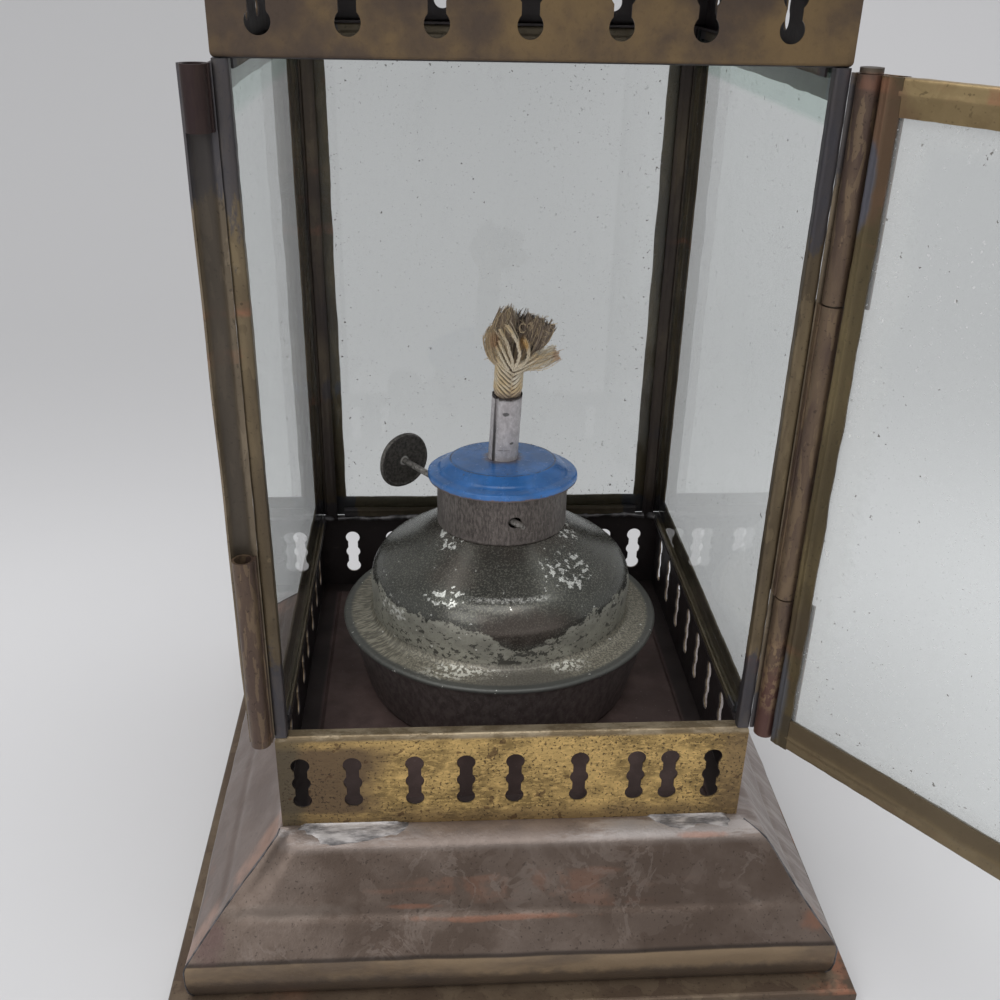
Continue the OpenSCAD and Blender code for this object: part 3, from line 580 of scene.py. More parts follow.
def skirt_marks(c):
    """Marks on the skirt: a dark line in the fold, which is painted shade, a golden lip that
    darkens downwards, a shoulder painted paler as a painted highlight with grey solder wiped
    along it, thin pale veins, a pale band and copper streaks across the front, sides painted
    paler as painted light with paler strokes of painted sheen on the right, and a copper
    coloured run by the front left hip."""
    def change(f, colour):
        x, z = f.axis("X"), f.axis("Z")
        aside = f.math("SUBTRACT", f.math("ABSOLUTE", x), f.math("ABSOLUTE", f.axis("Y")))
        fold = LIP_Z + 14 * MM
        noise = f.between(f.grain(8 * MM, 5.0, 0.65), -1.0, 1.0)
        vein = f.math("ABSOLUTE", f.math("ADD", f.grain(19 * MM, 5.0, 0.62, (1, 1, 1), 16.0, 0.7), -0.5))
        veins = f.times(f.step(vein, 0.030, 0.008), f.step(f.grain(24 * MM, 2.0, 0.5, (1, 1, 1), 19.0), 0.50, 0.62))
        colour = f.blend(f.times(veins, 0.34), colour, (0.225, 0.180, 0.155))
        # Painted highlight: the ledge and the rounding of the shoulder painted paler.
        shoulder = f.step(f.math("ADD", z, f.times(noise, 0.7 * MM)), BASE - 4.6 * MM, BASE - 2.8 * MM)
        colour = f.blend(f.times(shoulder, 0.45), colour, (0.235, 0.195, 0.175))
        wiped = f.step(f.grain(7 * MM, 6.0, 0.7, (0.22, 1, 1), 23.0), 0.44, 0.58)
        reach = f.most(f.step(x, 2 * MM, 30 * MM), f.step(x, -20 * MM, -46 * MM))
        ledge = f.step(z, BASE - 3.4 * MM, BASE - 1.6 * MM)
        colour = f.blend(f.times(f.times(wiped, f.times(reach, ledge)), 0.7), colour, (0.34, 0.315, 0.305))
        lip = f.step(f.math("ADD", z, f.times(noise, 0.5 * MM)), fold + 0.3 * MM, fold - 0.5 * MM)
        gold = f.blend(f.step(f.grain(16 * MM, 4.0, 0.6, (0.4, 0.4, 1), 5.0), 0.38, 0.6),
                       (0.165, 0.120, 0.082), (0.285, 0.205, 0.125))
        colour = f.blend(f.times(lip, 0.85), colour, gold)
        low = f.step(f.math("ADD", z, f.times(noise, 4 * MM)), fold - 5 * MM, fold - 9 * MM)
        colour = f.blend(f.times(low, 0.75), colour, (0.082, 0.066, 0.056))
        # Painted shade: a dark line in the fold between the slope and the lip.
        line = f.times(f.step(z, fold + 1.3 * MM, fold + 0.4 * MM), f.step(z, fold - 0.5 * MM, fold))
        colour = f.blend(f.times(line, 0.75), colour, (0.030, 0.022, 0.018))
        pale = f.near((-74 * MM, -97 * MM, 33.6 * MM), (20 * MM, 9 * MM, 2.2 * MM), 0.8, 6 * MM, 0.8)
        colour = f.blend(f.times(pale, 0.45), colour, (0.24, 0.195, 0.165))
        for place, reach in (((-4 * MM, -98 * MM, 31.0 * MM), (24 * MM, 9 * MM, 0.65 * MM)),
                             ((99 * MM, -102 * MM, 28.0 * MM), (5 * MM, 8 * MM, 2.6 * MM)),
                             ((62 * MM, -83 * MM, 49.8 * MM), (7 * MM, 4 * MM, 0.6 * MM)),
                             ((-34 * MM, -95 * MM, 34.0 * MM), (7 * MM, 9 * MM, 0.7 * MM))):
            streak = f.near(place, reach, 0.9, 5 * MM, 0.9)
            colour = f.blend(f.times(streak, 0.45), colour, toned(0.75, c.copper))
        red = f.near((-97 * MM, -101 * MM, 29.5 * MM), (5 * MM, 8 * MM, 7 * MM), 0.9, 6 * MM, 0.8)
        colour = f.blend(f.times(red, 0.55), colour, (0.105, 0.060, 0.058))
        # Painted light: the side panels painted paler, as if lit more strongly than the front.
        painted_light_side = f.step(aside, -1 * MM, 1 * MM)
        colour = f.blend(f.times(painted_light_side, 0.3), colour, (0.36, 0.29, 0.265))
        # Painted sheen: paler strokes on the right side panel, within the painted light of the sides.
        strokes = f.step(f.grain(2.6 * MM, 4.0, 0.6, (0.12, 1, 0.12), 33.0), 0.42, 0.66)
        strokes = f.times(f.times(strokes, painted_light_side), f.step(x, 0.0, 1 * MM))
        colour = f.blend(f.times(strokes, 0.42), colour, (0.46, 0.41, 0.38))
        run = f.times(f.times(f.step(aside, 13 * MM, 8 * MM), f.step(aside, 0.0, 2.5 * MM)), f.step(x, 0.0, -1 * MM))
        run = f.times(run, f.step(f.grain(9 * MM, 5.0, 0.68, (1, 0.5, 0.4), 27.0), 0.38, 0.58))
        return f.blend(f.times(run, 0.75), colour, (0.42, 0.265, 0.205))
    return change


def burnt_rim(f, colour):
    """The wick tube's scorched mouth, the dirt along its seam and a few scratches."""
    x, y = LAMP_AXIS
    noise = f.between(f.grain(2.5 * MM, 4.0, 0.6), -1.2 * MM, 1.2 * MM)
    mouth = f.step(f.math("ADD", f.axis("Z"), noise), TUBE_TOP - 1.3 * MM, TUBE_TOP - 0.5 * MM)
    colour = f.blend(mouth, colour, (0.035, 0.024, 0.020))
    marks = (((x - 3.6 * MM, y - 3.6 * MM, TUBE_TOP - 14 * MM), (0.75 * MM, 0.75 * MM, 30 * MM), 0.25),
             ((x + 0.4 * MM, y - 5.3 * MM, TUBE_TOP - 5.8 * MM), (1.1 * MM, 2 * MM, 0.75 * MM), 0.5),
             ((x + 2.6 * MM, y - 4.6 * MM, TUBE_TOP - 17 * MM), (0.7 * MM, 1.5 * MM, 0.45 * MM), 0.3),
             ((x - 0.3 * MM, y - 5.3 * MM, TUBE_TOP - 19.6 * MM), (2.4 * MM, 2 * MM, 0.13 * MM), 0.2))
    for place, reach, ragged in marks:
        colour = f.blend(f.times(f.near(place, reach, 0.5, 1.6 * MM, ragged), 0.85), colour, (0.06, 0.055, 0.052))
    return colour


def painted_boss_highlight(f, colour):
    """The thumbwheel's middle, painted bright where the shaft is riveted over: a painted highlight."""
    boss_highlight = f.near(middle("thumbwheel"), (1.9 * MM, 1.9 * MM, 1.9 * MM), 0.3, 1.2 * MM, 0.2)
    return f.blend(boss_highlight, colour, (0.62, 0.60, 0.57))


def knuckle_marks(f, colour):
    """The closure's upper knuckle near black, the hinge's lower end red under gold strokes."""
    strokes = f.step(f.grain(1.6 * MM, 5.0, 0.68, (1, 1, 0.5), 40.0), 0.46, 0.56)
    spots = (((-78, -76, 266), (9, 9, 34), 0.1, 0.92, 1.0, (0.024, 0.011, 0.012)),
             ((76.5, -78, 96), (6, 9, 20), 0.5, 0.7, 1.0, (0.105, 0.044, 0.038)),
             ((78.5, -78, 113), (9, 9, 13), 0.6, 0.55, strokes, (0.31, 0.215, 0.120)))
    for place, reach, ragged, much, where, tone in spots:
        place, reach = (tuple(part * MM for part in row) for row in (place, reach))
        spot = f.times(f.near(place, reach, 0.8, 6 * MM, ragged), much)
        colour = f.blend(f.times(spot, where), colour, tone)
    return colour


def door_marks(f, colour):
    """The solder at both ends of the door's hinge stile, the copper stain at its top and the
    duller bottom rail, darkest along its upper edge."""
    z = f.axis("Z")
    low = f.step(z, FRAME_Z + 14 * MM, FRAME_Z + 12.5 * MM)
    colour = f.blend(f.times(low, 0.6), colour, (0.118, 0.096, 0.066))
    brim = f.step(f.math("ADD", z, f.between(f.grain(9 * MM, 4.0), -2 * MM, 2 * MM)), FRAME_Z + 5 * MM, FRAME_Z + 8 * MM)
    colour = f.blend(f.times(f.times(low, brim), 0.55), colour, (0.070, 0.060, 0.052))
    spots = (((82, -84, 266), (8, 9, 15), 0.5, 0.35, 0.75, (0.215, 0.115, 0.072)),
             ((79.5, -80.5, 258), (3.2, 5, 12), 0.3, 0.25, 1.0, (0.125, 0.123, 0.145)),
             ((79.5, -81, 106), (3.4, 5, 17), 0.4, 0.35, 0.95, (0.112, 0.117, 0.135)),
             ((84, -88, 132), (8, 9, 10), 0.6, 0.5, 0.6, (0.100, 0.072, 0.048)))
    for place, reach, edge, ragged, much, tone in spots:
        place, reach = (tuple(part * MM for part in row) for row in (place, reach))
        colour = f.blend(f.times(f.near(place, reach, edge, 6 * MM, ragged), much), colour, tone)
    return colour


def glass_finish(c, name, start, heading, width, low, high, covered, strip, green, haze):
    """Thin clear pane: what is behind shows through a faint green, each face mirrors more the
    more it is seen from the side, dust lies on it in specks and smears, and a haze gathers
    along the frame. start and heading give one upright edge of the pane and the way across,
    covered is the width that the frame hides, and strip that of its wider flange, which is
    seen through clean glass."""
    f = Finish(name)
    tree = f.tree
    tree.nodes.remove(f.shader)
    gap = f.node("ShaderNodeVectorMath", {0: f.place, 1: start}, operation="SUBTRACT").outputs[0]
    across = f.node("ShaderNodeVectorMath", {0: gap, 1: heading}, operation="DOT_PRODUCT").outputs["Value"]
    z = f.axis("Z")
    rim = f.math("MINIMUM", f.math("MINIMUM", across, f.math("SUBTRACT", width, across)),
                 f.math("MINIMUM", f.math("SUBTRACT", z, low), f.math("SUBTRACT", high, z)))
    band = f.step(z, high - 14.5 * MM, high - 12.8 * MM)
    tint = f.blend(f.times(band, green), c.glass, (0.72, 0.82, 0.78))
    clear = f.node("ShaderNodeBsdfTransparent", {"Color": tint})
    mirror = f.node("ShaderNodeBsdfGlossy", {"Color": (1.0, 1.0, 1.0), "Roughness": 0.012})
    slant = f.node("ShaderNodeLayerWeight", {"Blend": 0.5}).outputs["Facing"]
    shine = f.math("MULTIPLY_ADD", f.math("POWER", slant, 5.0), 0.70, 0.018)
    pane = f.node("ShaderNodeMixShader", {0: shine, 1: clear.outputs[0], 2: mirror.outputs[0]})
    dust = f.node("ShaderNodeBsdfDiffuse", {"Color": (0.74, 0.74, 0.73)})
    dots = f.step(f.grain(1.5 * MM, 1.0, 0.5), 0.735, 0.775)
    fine = f.step(f.grain(0.8 * MM, 1.0, 0.5, (1, 1, 1), 4.0), 0.71, 0.77)
    field = f.step(f.grain(40 * MM, 3.0, 0.6, (1, 1, 1), 2.0), 0.38, 0.64)
    edge = f.step(f.math("ADD", rim, f.between(f.grain(12 * MM, 4.0, 0.6), -8 * MM, 8 * MM)),
                  covered + 9 * MM, covered + 1 * MM)
    smear = f.times(f.step(f.grain(18 * MM, 5.0, 0.7, (1, 1, 0.6), 6.0), 0.5, 0.8), 0.05)
    specks = f.times(f.most(dots, f.times(fine, 0.7)), f.between(f.most(field, edge), 0.2, 0.85))
    amount = f.math("ADD", f.math("ADD", specks, smear), f.times(edge, haze))
    amount = f.times(amount, f.step(rim, strip - 0.8 * MM, strip + 0.4 * MM))
    dusty = f.node("ShaderNodeMixShader", {0: amount, 1: pane.outputs[0], 2: dust.outputs[0]})
    grime = f.node("ShaderNodeBsdfDiffuse", {"Color": (0.13, 0.115, 0.10)})
    line = f.times(f.step(rim, covered + 3 * MM, covered + 5 * MM), f.step(rim, covered + 13 * MM, covered + 7 * MM))
    crumbs = f.step(f.math("MULTIPLY_ADD", line, 0.045, f.grain(2.1 * MM, 3.0, 0.6, (1, 1, 1), 9.0)), 0.725, 0.75)
    final = f.node("ShaderNodeMixShader", {0: f.times(crumbs, 0.8), 1: dusty.outputs[0], 2: grime.outputs[0]})
    tree.links.new(final.outputs[0], f.output.inputs["Surface"])
    return f.material


def lamp_finish(c, seam, neck):
    """Dark tinplate of the dome: fine olive mottle that calms on the flanks, a worn tan zone
    below a ragged edge that dips at the front, bare flecks in clusters, a pale arc along the
    shoulder at the front that is a painted highlight, and a worn flange with painted glints
    by the dome's foot.
    Heights are taken square to the lamp's tilt."""
    f = Finish("worn tinplate with painted highlights")
    x = f.axis("X")
    front = LAMP_AXIS[1]
    tilt = settings("lamp").tilt
    z = f.math("ADD", f.axis("Z"), f.math("MULTIPLY_ADD", f.axis("Y"), tilt, -tilt * front))
    wide = f.math("ABSOLUTE", x)
    mottle = f.step(f.grain(0.62 * MM, 3.0, 0.62), 0.38, 0.64)
    calm = f.times(f.step(wide, 20 * MM, 33 * MM), f.step(z, neck - 13 * MM, neck - 20 * MM))
    rough = f.times(mottle, f.between(calm, 1.0, 0.3))
    cloud = f.step(f.grain(16 * MM, 4.0, 0.6), 0.35, 0.68)
    base = f.blend(cloud, toned(0.68, c.tinplate), toned(0.95, c.tinplate))
    base = f.blend(calm, base, toned(0.95, c.tinplate))
    colour = f.blend(f.times(rough, 0.62), base, (0.205, 0.200, 0.165))
    stains = [((6 * MM, front - 48 * MM, seam + 20 * MM), (17 * MM, 9 * MM, 6 * MM), 0.55),
              ((-16 * MM, front - 27 * MM, neck - 9 * MM), (10 * MM, 9 * MM, 6 * MM), 0.4),
              ((0.0, front, neck), (29 * MM, 29 * MM, 7 * MM), 0.4)]
    for place, reach, much in stains:
        colour = f.blend(f.times(f.near(place, reach, 0.9, 6 * MM, 0.5), much), colour, (0.088, 0.060, 0.048))
    tan = f.blend(f.step(f.grain(9 * MM, 5.0, 0.65, (1, 1, 1.5), 3.0), 0.36, 0.60),
                  toned(0.76, c.worn_tin), toned(1.06, c.worn_tin))
    tan = f.blend(f.times(mottle, 0.3), tan, toned(0.6, c.worn_tin))
    droop_at = f.near((7 * MM, front - 47 * MM, seam + 11 * MM), (18 * MM, 9 * MM, 5 * MM), 0.8, 4 * MM, 0.4)
    islands = f.step(f.math("MULTIPLY_ADD", droop_at, 0.10, f.grain(5 * MM, 5.0, 0.68, (1, 1, 1.3), 14.0)), 0.605, 0.615)
    pitted = f.most(f.near((-26 * MM, front - 38 * MM, seam + 8.5 * MM), (24 * MM, 18 * MM, 3 * MM), 0.8, 5 * MM, 0.4),
                    f.step(z, seam + 6 * MM, seam + 4.6 * MM))
    pits = f.step(f.math("MULTIPLY_ADD", pitted, 0.06, f.grain(1.4 * MM, 3.0, 0.6, (0.8, 0.8, 1.2), 8.0)), 0.60, 0.635)
    tan = f.blend(f.times(f.most(islands, pits), 0.9), tan, (0.068, 0.064, 0.056))
    ragged = f.between(f.grain(9 * MM, 7.0, 0.72, (1, 1, 1.1), 1.5), -9 * MM, 9 * MM)
    droop = f.times(f.step(f.math("ABSOLUTE", f.math("ADD", x, -6 * MM)), 24 * MM, 3 * MM), -7 * MM)
    edge = f.math("SUBTRACT", f.math("ADD", seam + 18 * MM, droop), z)
    zone = f.step(f.math("ADD", edge, ragged), -0.12 * MM, 0.12 * MM)
    colour = f.blend(zone, colour, tan)
    flange = f.step(z, seam + 4.6 * MM, seam + 3.2 * MM)
    strokes, far = f.spun(LAMP_AXIS, 0.8 * MM, 4 * MM)
    speckle = f.step(f.grain(0.7 * MM, 3.0, 0.65, (1, 1, 1), 21.0), 0.40, 0.62)
    worn = f.blend(f.step(x, -28 * MM, -44 * MM), speckle, f.step(strokes, 0.42, 0.62))
    tone = f.blend(worn, (0.165, 0.152, 0.122), (0.375, 0.345, 0.275))
    dull = f.near((4 * MM, front - 55 * MM, seam), (24 * MM, 11 * MM, 9 * MM), 0.9, 8 * MM, 0.5)
    tone = f.blend(f.times(dull, 0.7), tone, (0.135, 0.125, 0.110))
    foot = settings("lamp").dome_foot
    rim = f.step(far, foot + 7.5 * MM, foot + 9 * MM)
    tone = f.blend(f.times(rim, 0.9), tone, (0.105, 0.107, 0.100))
    # Painted highlights: pale glints on the flange by the dome's foot, where the fillet catches the light.
    glints = f.step(f.grain(1.3 * MM, 3.0, 0.6, (1, 1, 1), 17.0), 0.50, 0.54)
    painted_glint_spots = [((-14 * MM, front - 47 * MM, seam + 3 * MM), (15 * MM, 5 * MM, 2 * MM)),
             ((19 * MM, front - 45 * MM, seam + 3 * MM), (9 * MM, 4 * MM, 2 * MM))]
    for place, reach in painted_glint_spots:
        tone = f.blend(f.times(glints, f.near(place, reach, 0.7, 4 * MM, 0.4)), tone, (0.78, 0.76, 0.68))
    colour = f.blend(flange, colour, tone)
    flecks = f.step(f.grain(1.9 * MM, 4.0, 0.62, (1, 1, 1), 9.0), 0.545, 0.57)
    spots = [((21 * MM, front - 27 * MM, neck - 8 * MM), (12 * MM, 10 * MM, 6 * MM), 0.62),
             ((-19 * MM, front - 36 * MM, neck - 13 * MM), (9 * MM, 6 * MM, 3.5 * MM), 0.62),
             ((-39 * MM, front - 27 * MM, seam + 17 * MM), (7 * MM, 9 * MM, 4 * MM), 0.62),
             ((-19 * MM, front - 15 * MM, neck - 1 * MM), (6 * MM, 7 * MM, 4 * MM), 0.8),
             ((24 * MM, front - 10 * MM, neck - 1 * MM), (6 * MM, 7 * MM, 4 * MM), 0.7)]
    bare = f.step(f.grain(2.0 * MM, 2.0, 0.5, (1, 1, 1), 11.0), 0.715, 0.735)
    for place, reach, much in spots:
        cluster = f.near(place, reach, 0.9, 3.5 * MM, 0.6)
        bare = f.most(bare, f.times(f.step(f.math("ADD", flecks, cluster), 1.5, 1.7), much + 0.35))
    # Painted highlight: a pale broken arc along the dome's shoulder at the front, in the bare tin colour.
    arc_at = f.step(f.math("ABSOLUTE", f.math("ADD", far, -41.9 * MM)), 1.3 * MM, 0.2 * MM)
    highlight_reach = f.near((0.5 * MM, front - 41 * MM, neck - 17 * MM), (15 * MM, 6 * MM, 14 * MM), 0.4, 3 * MM, 0.3)
    painted_highlight_arc = f.times(f.times(arc_at, highlight_reach), f.step(f.grain(1.0 * MM, 4.0, 0.66, (1, 1, 1), 31.0), 0.42, 0.62))
    # The bare tin colour goes on the real flecks and on the painted highlight arc.
    colour = f.blend(f.times(f.most(bare, painted_highlight_arc), 0.95), colour, c.silver)
    gloss = f.most(zone, f.times(mottle, 0.35))
    f.set(Base_Color=colour, Metallic=f.between(f.most(zone, flange), 0.62, 0.45),
          Roughness=f.between(gloss, 0.20, 0.46))
    relief = f.math("SUBTRACT", f.times(mottle, 0.3), f.times(zone, 0.4))
    f.bump(relief, 0.08 * MM, 0.5)
    return f.material


def tin_finish(name, dark, light, size, stretch, rough=(0.3, 0.55), metal=0.7, depth=0.2, change=None):
    """Plain tinplate with streaks along the stretch and fine pale specks. change adds what
    belongs to one piece only."""
    f = Finish(name)
    streak = f.step(f.grain(size, 5.0, 0.65, stretch), 0.34, 0.68)
    colour = f.blend(streak, dark, light)
    specks = f.step(f.grain(0.8 * MM, 3.0, 0.6, (1, 1, 1), 3.0), 0.62, 0.70)
    colour = f.blend(f.times(specks, 0.45), colour, toned(1.9, light))
    if change:
        colour = change(f, colour)
    f.set(Base_Color=colour, Metallic=metal,
          Roughness=f.between(f.grain(2.5 * MM, 4.0, 0.6, (1, 1, 1), 5.0), rough[0], rough[1]))
    f.bump(f.grain(size * 0.6, 4.0, 0.65, stretch, 2.0), depth * MM, 0.5)
    return f.material


def enamel_finish(c, centre, low, top):
    """Blue paint on the pressed cap: worn through at the rim, dusty round the wick tube, with
    small chips and a soft gloss."""
    f = Finish("blue enamel")
    gap = f.node("ShaderNodeVectorMath", {0: f.place, 1: centre}, operation="SUBTRACT").outputs[0]
    flat = f.node("ShaderNodeVectorMath", {0: gap, 1: (1.0, 1.0, 0.0)}, operation="MULTIPLY").outputs[0]
    away = f.node("ShaderNodeVectorMath", {0: flat}, operation="LENGTH").outputs["Value"]
    cloud = f.step(f.grain(9 * MM, 4.0, 0.6), 0.35, 0.7)
    colour = f.blend(cloud, toned(0.85, c.enamel), toned(1.25, c.enamel))
    pale = f.step(f.grain(5 * MM, 5.0, 0.7, (1, 1, 1), 4.0), 0.50, 0.74)
    colour = f.blend(f.times(pale, 0.25), colour, (0.16, 0.24, 0.36))
    noise = f.between(f.grain(2.4 * MM, 5.0, 0.7, (1, 1, 1), 6.0), -1.0, 1.0)
    near_tube = f.step(f.math("ADD", away, f.times(noise, 3.0 * MM)), 8.6 * MM, 5.6 * MM)
    colour = f.blend(f.times(near_tube, 0.8), colour, c.rust)
    level = f.math("ADD", f.axis("Z"), f.times(f.axis("Y"), settings("lamp").cap_tilt))
    level = f.math("ADD", level, -centre[1] * settings("lamp").cap_tilt)
    ring = f.math("ABSOLUTE", f.math("ADD", away, -settings("lamp").plateau))
    groove = f.times(f.step(ring, 0.42 * MM, 0.16 * MM), f.step(f.grain(5 * MM, 4.0, 0.6, (1, 1, 1), 12.0), 0.36, 0.52))
    colour = f.blend(f.times(groove, 0.8), colour, (0.035, 0.05, 0.08))
    rim = f.step(f.math("ADD", level, f.times(noise, -0.9 * MM)), low + 1.2 * MM, low + 0.4 * MM)
    colour = f.blend(f.times(rim, 0.9), colour, (0.215, 0.150, 0.100))
    chips = f.step(f.grain(1.6 * MM, 2.0, 0.5, (1, 1, 1), 8.0), 0.72, 0.75)
    colour = f.blend(f.times(chips, 0.7), colour, (0.09, 0.085, 0.08))
    f.set(Base_Color=colour, Metallic=0.0, Specular_IOR_Level=0.55,
          Roughness=f.between(f.grain(3 * MM, 4.0, 0.6), 0.17, 0.34))
    f.bump(f.grain(1.6 * MM, 4.0, 0.6), 0.07 * MM, 0.4)
    return f.material


def cotton_finish(c):
    """Cotton by how singed the mesh says it is, from pale through cream and smoked to burnt,
    with fine fibres across it, a yellow spot and a pinkish tip. On the wick's core the same
    mark is painted shade: dark brown where it shows in the gaps between the yarns."""
    f = Finish("wick cotton")
    fuzz = f.grain(0.35 * MM, 3.0, 0.7)
    mark = f.mark("singed")
    colour = c.pale_cotton
    for low, high, tone in ((0.02, 0.2, c.cotton), (0.25, 0.6, c.singed), (0.68, 0.95, c.burnt)):
        colour = f.blend(f.step(mark, low, high), colour, tuple(tone))
    x, y = LAMP_AXIS
    for place, reach, tone in (((x + 5.8 * MM, y - 4 * MM, TUBE_TOP + 19.3 * MM), (1.7 * MM, 4 * MM, 2.3 * MM), (0.66, 0.36, 0.07)),
                               ((x - 4.0 * MM, y - 3 * MM, TUBE_TOP + 20 * MM), (1.6 * MM, 4 * MM, 2.6 * MM), (0.60, 0.36, 0.20)),
                               ((x + 18.3 * MM, y - 1.5 * MM, TUBE_TOP + 15 * MM), (2.2 * MM, 5 * MM, 2.6 * MM), (0.60, 0.38, 0.24))):
        colour = f.blend(f.times(f.near(place, reach, 0.9, 2 * MM, 0.5), 0.7), colour, tone)
    colour = f.blend(f.times(f.step(fuzz, 0.62, 0.36), 0.35), colour, c.burnt)
    f.set(Base_Color=colour, Roughness=0.92, Sheen_Weight=0.3, Specular_IOR_Level=0.2)
    f.bump(fuzz, 0.12 * MM, 0.7)
    return f.material


def dress(item, body, slot, finish, *nodes):
    """Puts the finish on a piece, lets it ride on its body, and hides the
    nodes that it stands for. The slot argument is not used."""
    item.data.materials.clear()
    item.data.materials.append(finish)
    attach(item, body)
    if nodes:
        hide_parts(*nodes)


def dress_nodes(finish, *nodes):
    """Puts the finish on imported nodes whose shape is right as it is."""
    for node in nodes:
        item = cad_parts[node]
        if not item.material_slots:
            item.data.materials.append(finish)
        for slot in item.material_slots:
            slot.material = finish


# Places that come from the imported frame

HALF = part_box("gallery_front")[1][0]
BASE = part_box("gallery_front")[0][2]
FRAME_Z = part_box("gallery_front")[1][2]
UPPER_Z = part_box("upper_front")[0][2]
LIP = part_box("skirt_front")[1][0]
LIP_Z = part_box("skirt_front")[0][2]
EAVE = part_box("roof_front")[1][0]
EAVE_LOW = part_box("roof_front")[0][2]
CROWN_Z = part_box("roof_front")[1][2]
SIDES = ("front", "right", "back", "left")


def middle(node):
    """The middle of a node's box."""
    low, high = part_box(node)
    return tuple((a + b) / 2 for a, b in zip(low, high))


LAMP_AXIS = (0.0, middle("reservoir_cup")[1])
SEAM_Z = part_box("reservoir_cup")[1][2]
NECK_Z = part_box("reservoir_dome")[1][2]
TUBE_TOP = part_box("wick_tube")[1][2]


# Sheet panels

HIP_SHIFTS = tuple(part * MM for part in (-2.3, 4.0, 2.0, -1.0))
SIDE_SHIFTS = tuple(part * MM for part in (3.6, 3.0, 1.0, -2.0))


def skirt_profile():
    """Distance out and height of the skirt's outer face, from its lip up to its ledge."""
    top = LIP_Z + 14 * MM
    corners = [(LIP - 1.6 * MM, LIP_Z), (LIP - 0.5 * MM, LIP_Z + 2.6 * MM), (LIP, LIP_Z + 6 * MM),
               (LIP, top - 1.6 * MM), (LIP - 0.5 * MM, top), (HALF + 4.0 * MM, BASE - 1.1 * MM),
               (HALF + 2.6 * MM, BASE - 0.3 * MM), (HALF + 1.2 * MM, BASE), (HALF - 5 * MM, BASE)]
    return soften(spread(corners, 90), 2)


def roof_profile():
    """Distance out and height of the roof's outer face, from its eave up to its ledge."""
    eave_z = EAVE_LOW + 6 * MM
    crown = 37 * MM
    slope = (CROWN_Z - eave_z) / (EAVE - crown)
    corners = [(EAVE, EAVE_LOW), (EAVE, eave_z - 1 * MM), (EAVE - 0.7 * MM, eave_z + 0.7 * MM * slope),
               (crown + 1 * MM, CROWN_Z - slope * MM), (crown - 1 * MM, CROWN_Z), (crown - 5 * MM, CROWN_Z)]
    return soften(spread(corners, 80), 1)


def shouldered(out, height, shift, drop):
    """Moves the skirt's shoulder out by shift and down by drop. The move grows over the ledge
    from the wall to the shoulder and dies away down the slope as a bell curve does."""
    share = np.clip((out - HALF - 0.6 * MM) / (3.4 * MM), 0, 1)
    share = share * np.exp(-(np.maximum(BASE - 1.1 * MM - height, 0) / (12 * MM)) ** 2)
    return out + share * shift, height - share * drop


def sheet_side(line, side, seed, crease=None, inset=0.0, across=None, shoulder=False, ends=None):
    """The face of one side of a hipped shape: across runs from -1 at one hip to 1 at the other,
    and the line gives the distance out and the height, so x is across times the distance.
    Dents push the face along its normal and fade at its edges; inset moves it inwards. With
    shoulder the skirt's ledge gets its own width at each hip and between the hips, and ends
    gives the lowest and highest part of the whole side where the line is only a part of it."""
    dent = settings("sheet").dent
    across = np.linspace(-1, 1, 150) if across is None else across
    normal = right_side(line)
    out = np.repeat(line[None, :, 0], len(across), axis=0)
    height = np.repeat(line[None, :, 1], len(across), axis=0)
    flat = np.stack([across[:, None] * out, -out, height], axis=-1)
    low, high = ends or (line[:, 1].min(), line[:, 1].max())
    fade = ease(1 - np.abs(across), 0.0, 0.10)[:, None]
    fade = fade * ease(height, low + 1 * MM, low + 9 * MM) * ease(height, high - 1 * MM, high - 6 * MM)
    push = dent * ripple(flat, 62 * MM, seed) + 0.28 * dent * ripple(flat, 17 * MM, seed + 20)
    if crease is not None:
        push = push - 0.8 * dent * np.exp(-((height - crease) / (1.5 * MM)) ** 2)
    push = push * fade - inset
    out = out + push * normal[:, 0]
    height = height + push * normal[:, 1]
    if shoulder:
        first, last = HIP_SHIFTS[side], HIP_SHIFTS[(side + 1) % 4]
        near_first, near_last = (1 - ease(1 + hand * across, 0.0, 0.16)[:, None] for hand in (1, -1))
        between = 1 - near_first - near_last
        shift = near_first * first + near_last * last + between * SIDE_SHIFTS[side]
        out, height = shouldered(out, height, shift, 1.2 * MM * np.abs(shift) / (3 * MM))
    return turned(np.stack([across[:, None] * out, -out, height], axis=-1), 90 * side)


def hip_seams(line, bead, seed, shoulder=False):
    """Solder along the four hips: tubes through the corners of the profile, uneven in radius."""
    stations = spread(line, 130)
    paths = []
    for side, shift in enumerate(HIP_SHIFTS):
        out, height = stations[:, 0], stations[:, 1]
        if shoulder:
            out, height = shouldered(out, height, shift, 1.2 * MM * abs(shift) / (3 * MM))
        paths.append(turned(np.stack([-out, -out, height], axis=-1), 90 * side))
    paths = np.stack(paths)
    radius = bead * (0.85 + 0.35 * ripple(paths, 9 * MM, seed) + 0.2 * ripple(paths, 3 * MM, seed + 1))
    return strands(paths, np.maximum(radius, 0.3 * bead), 10, (0.3, 0.2, 0.9))


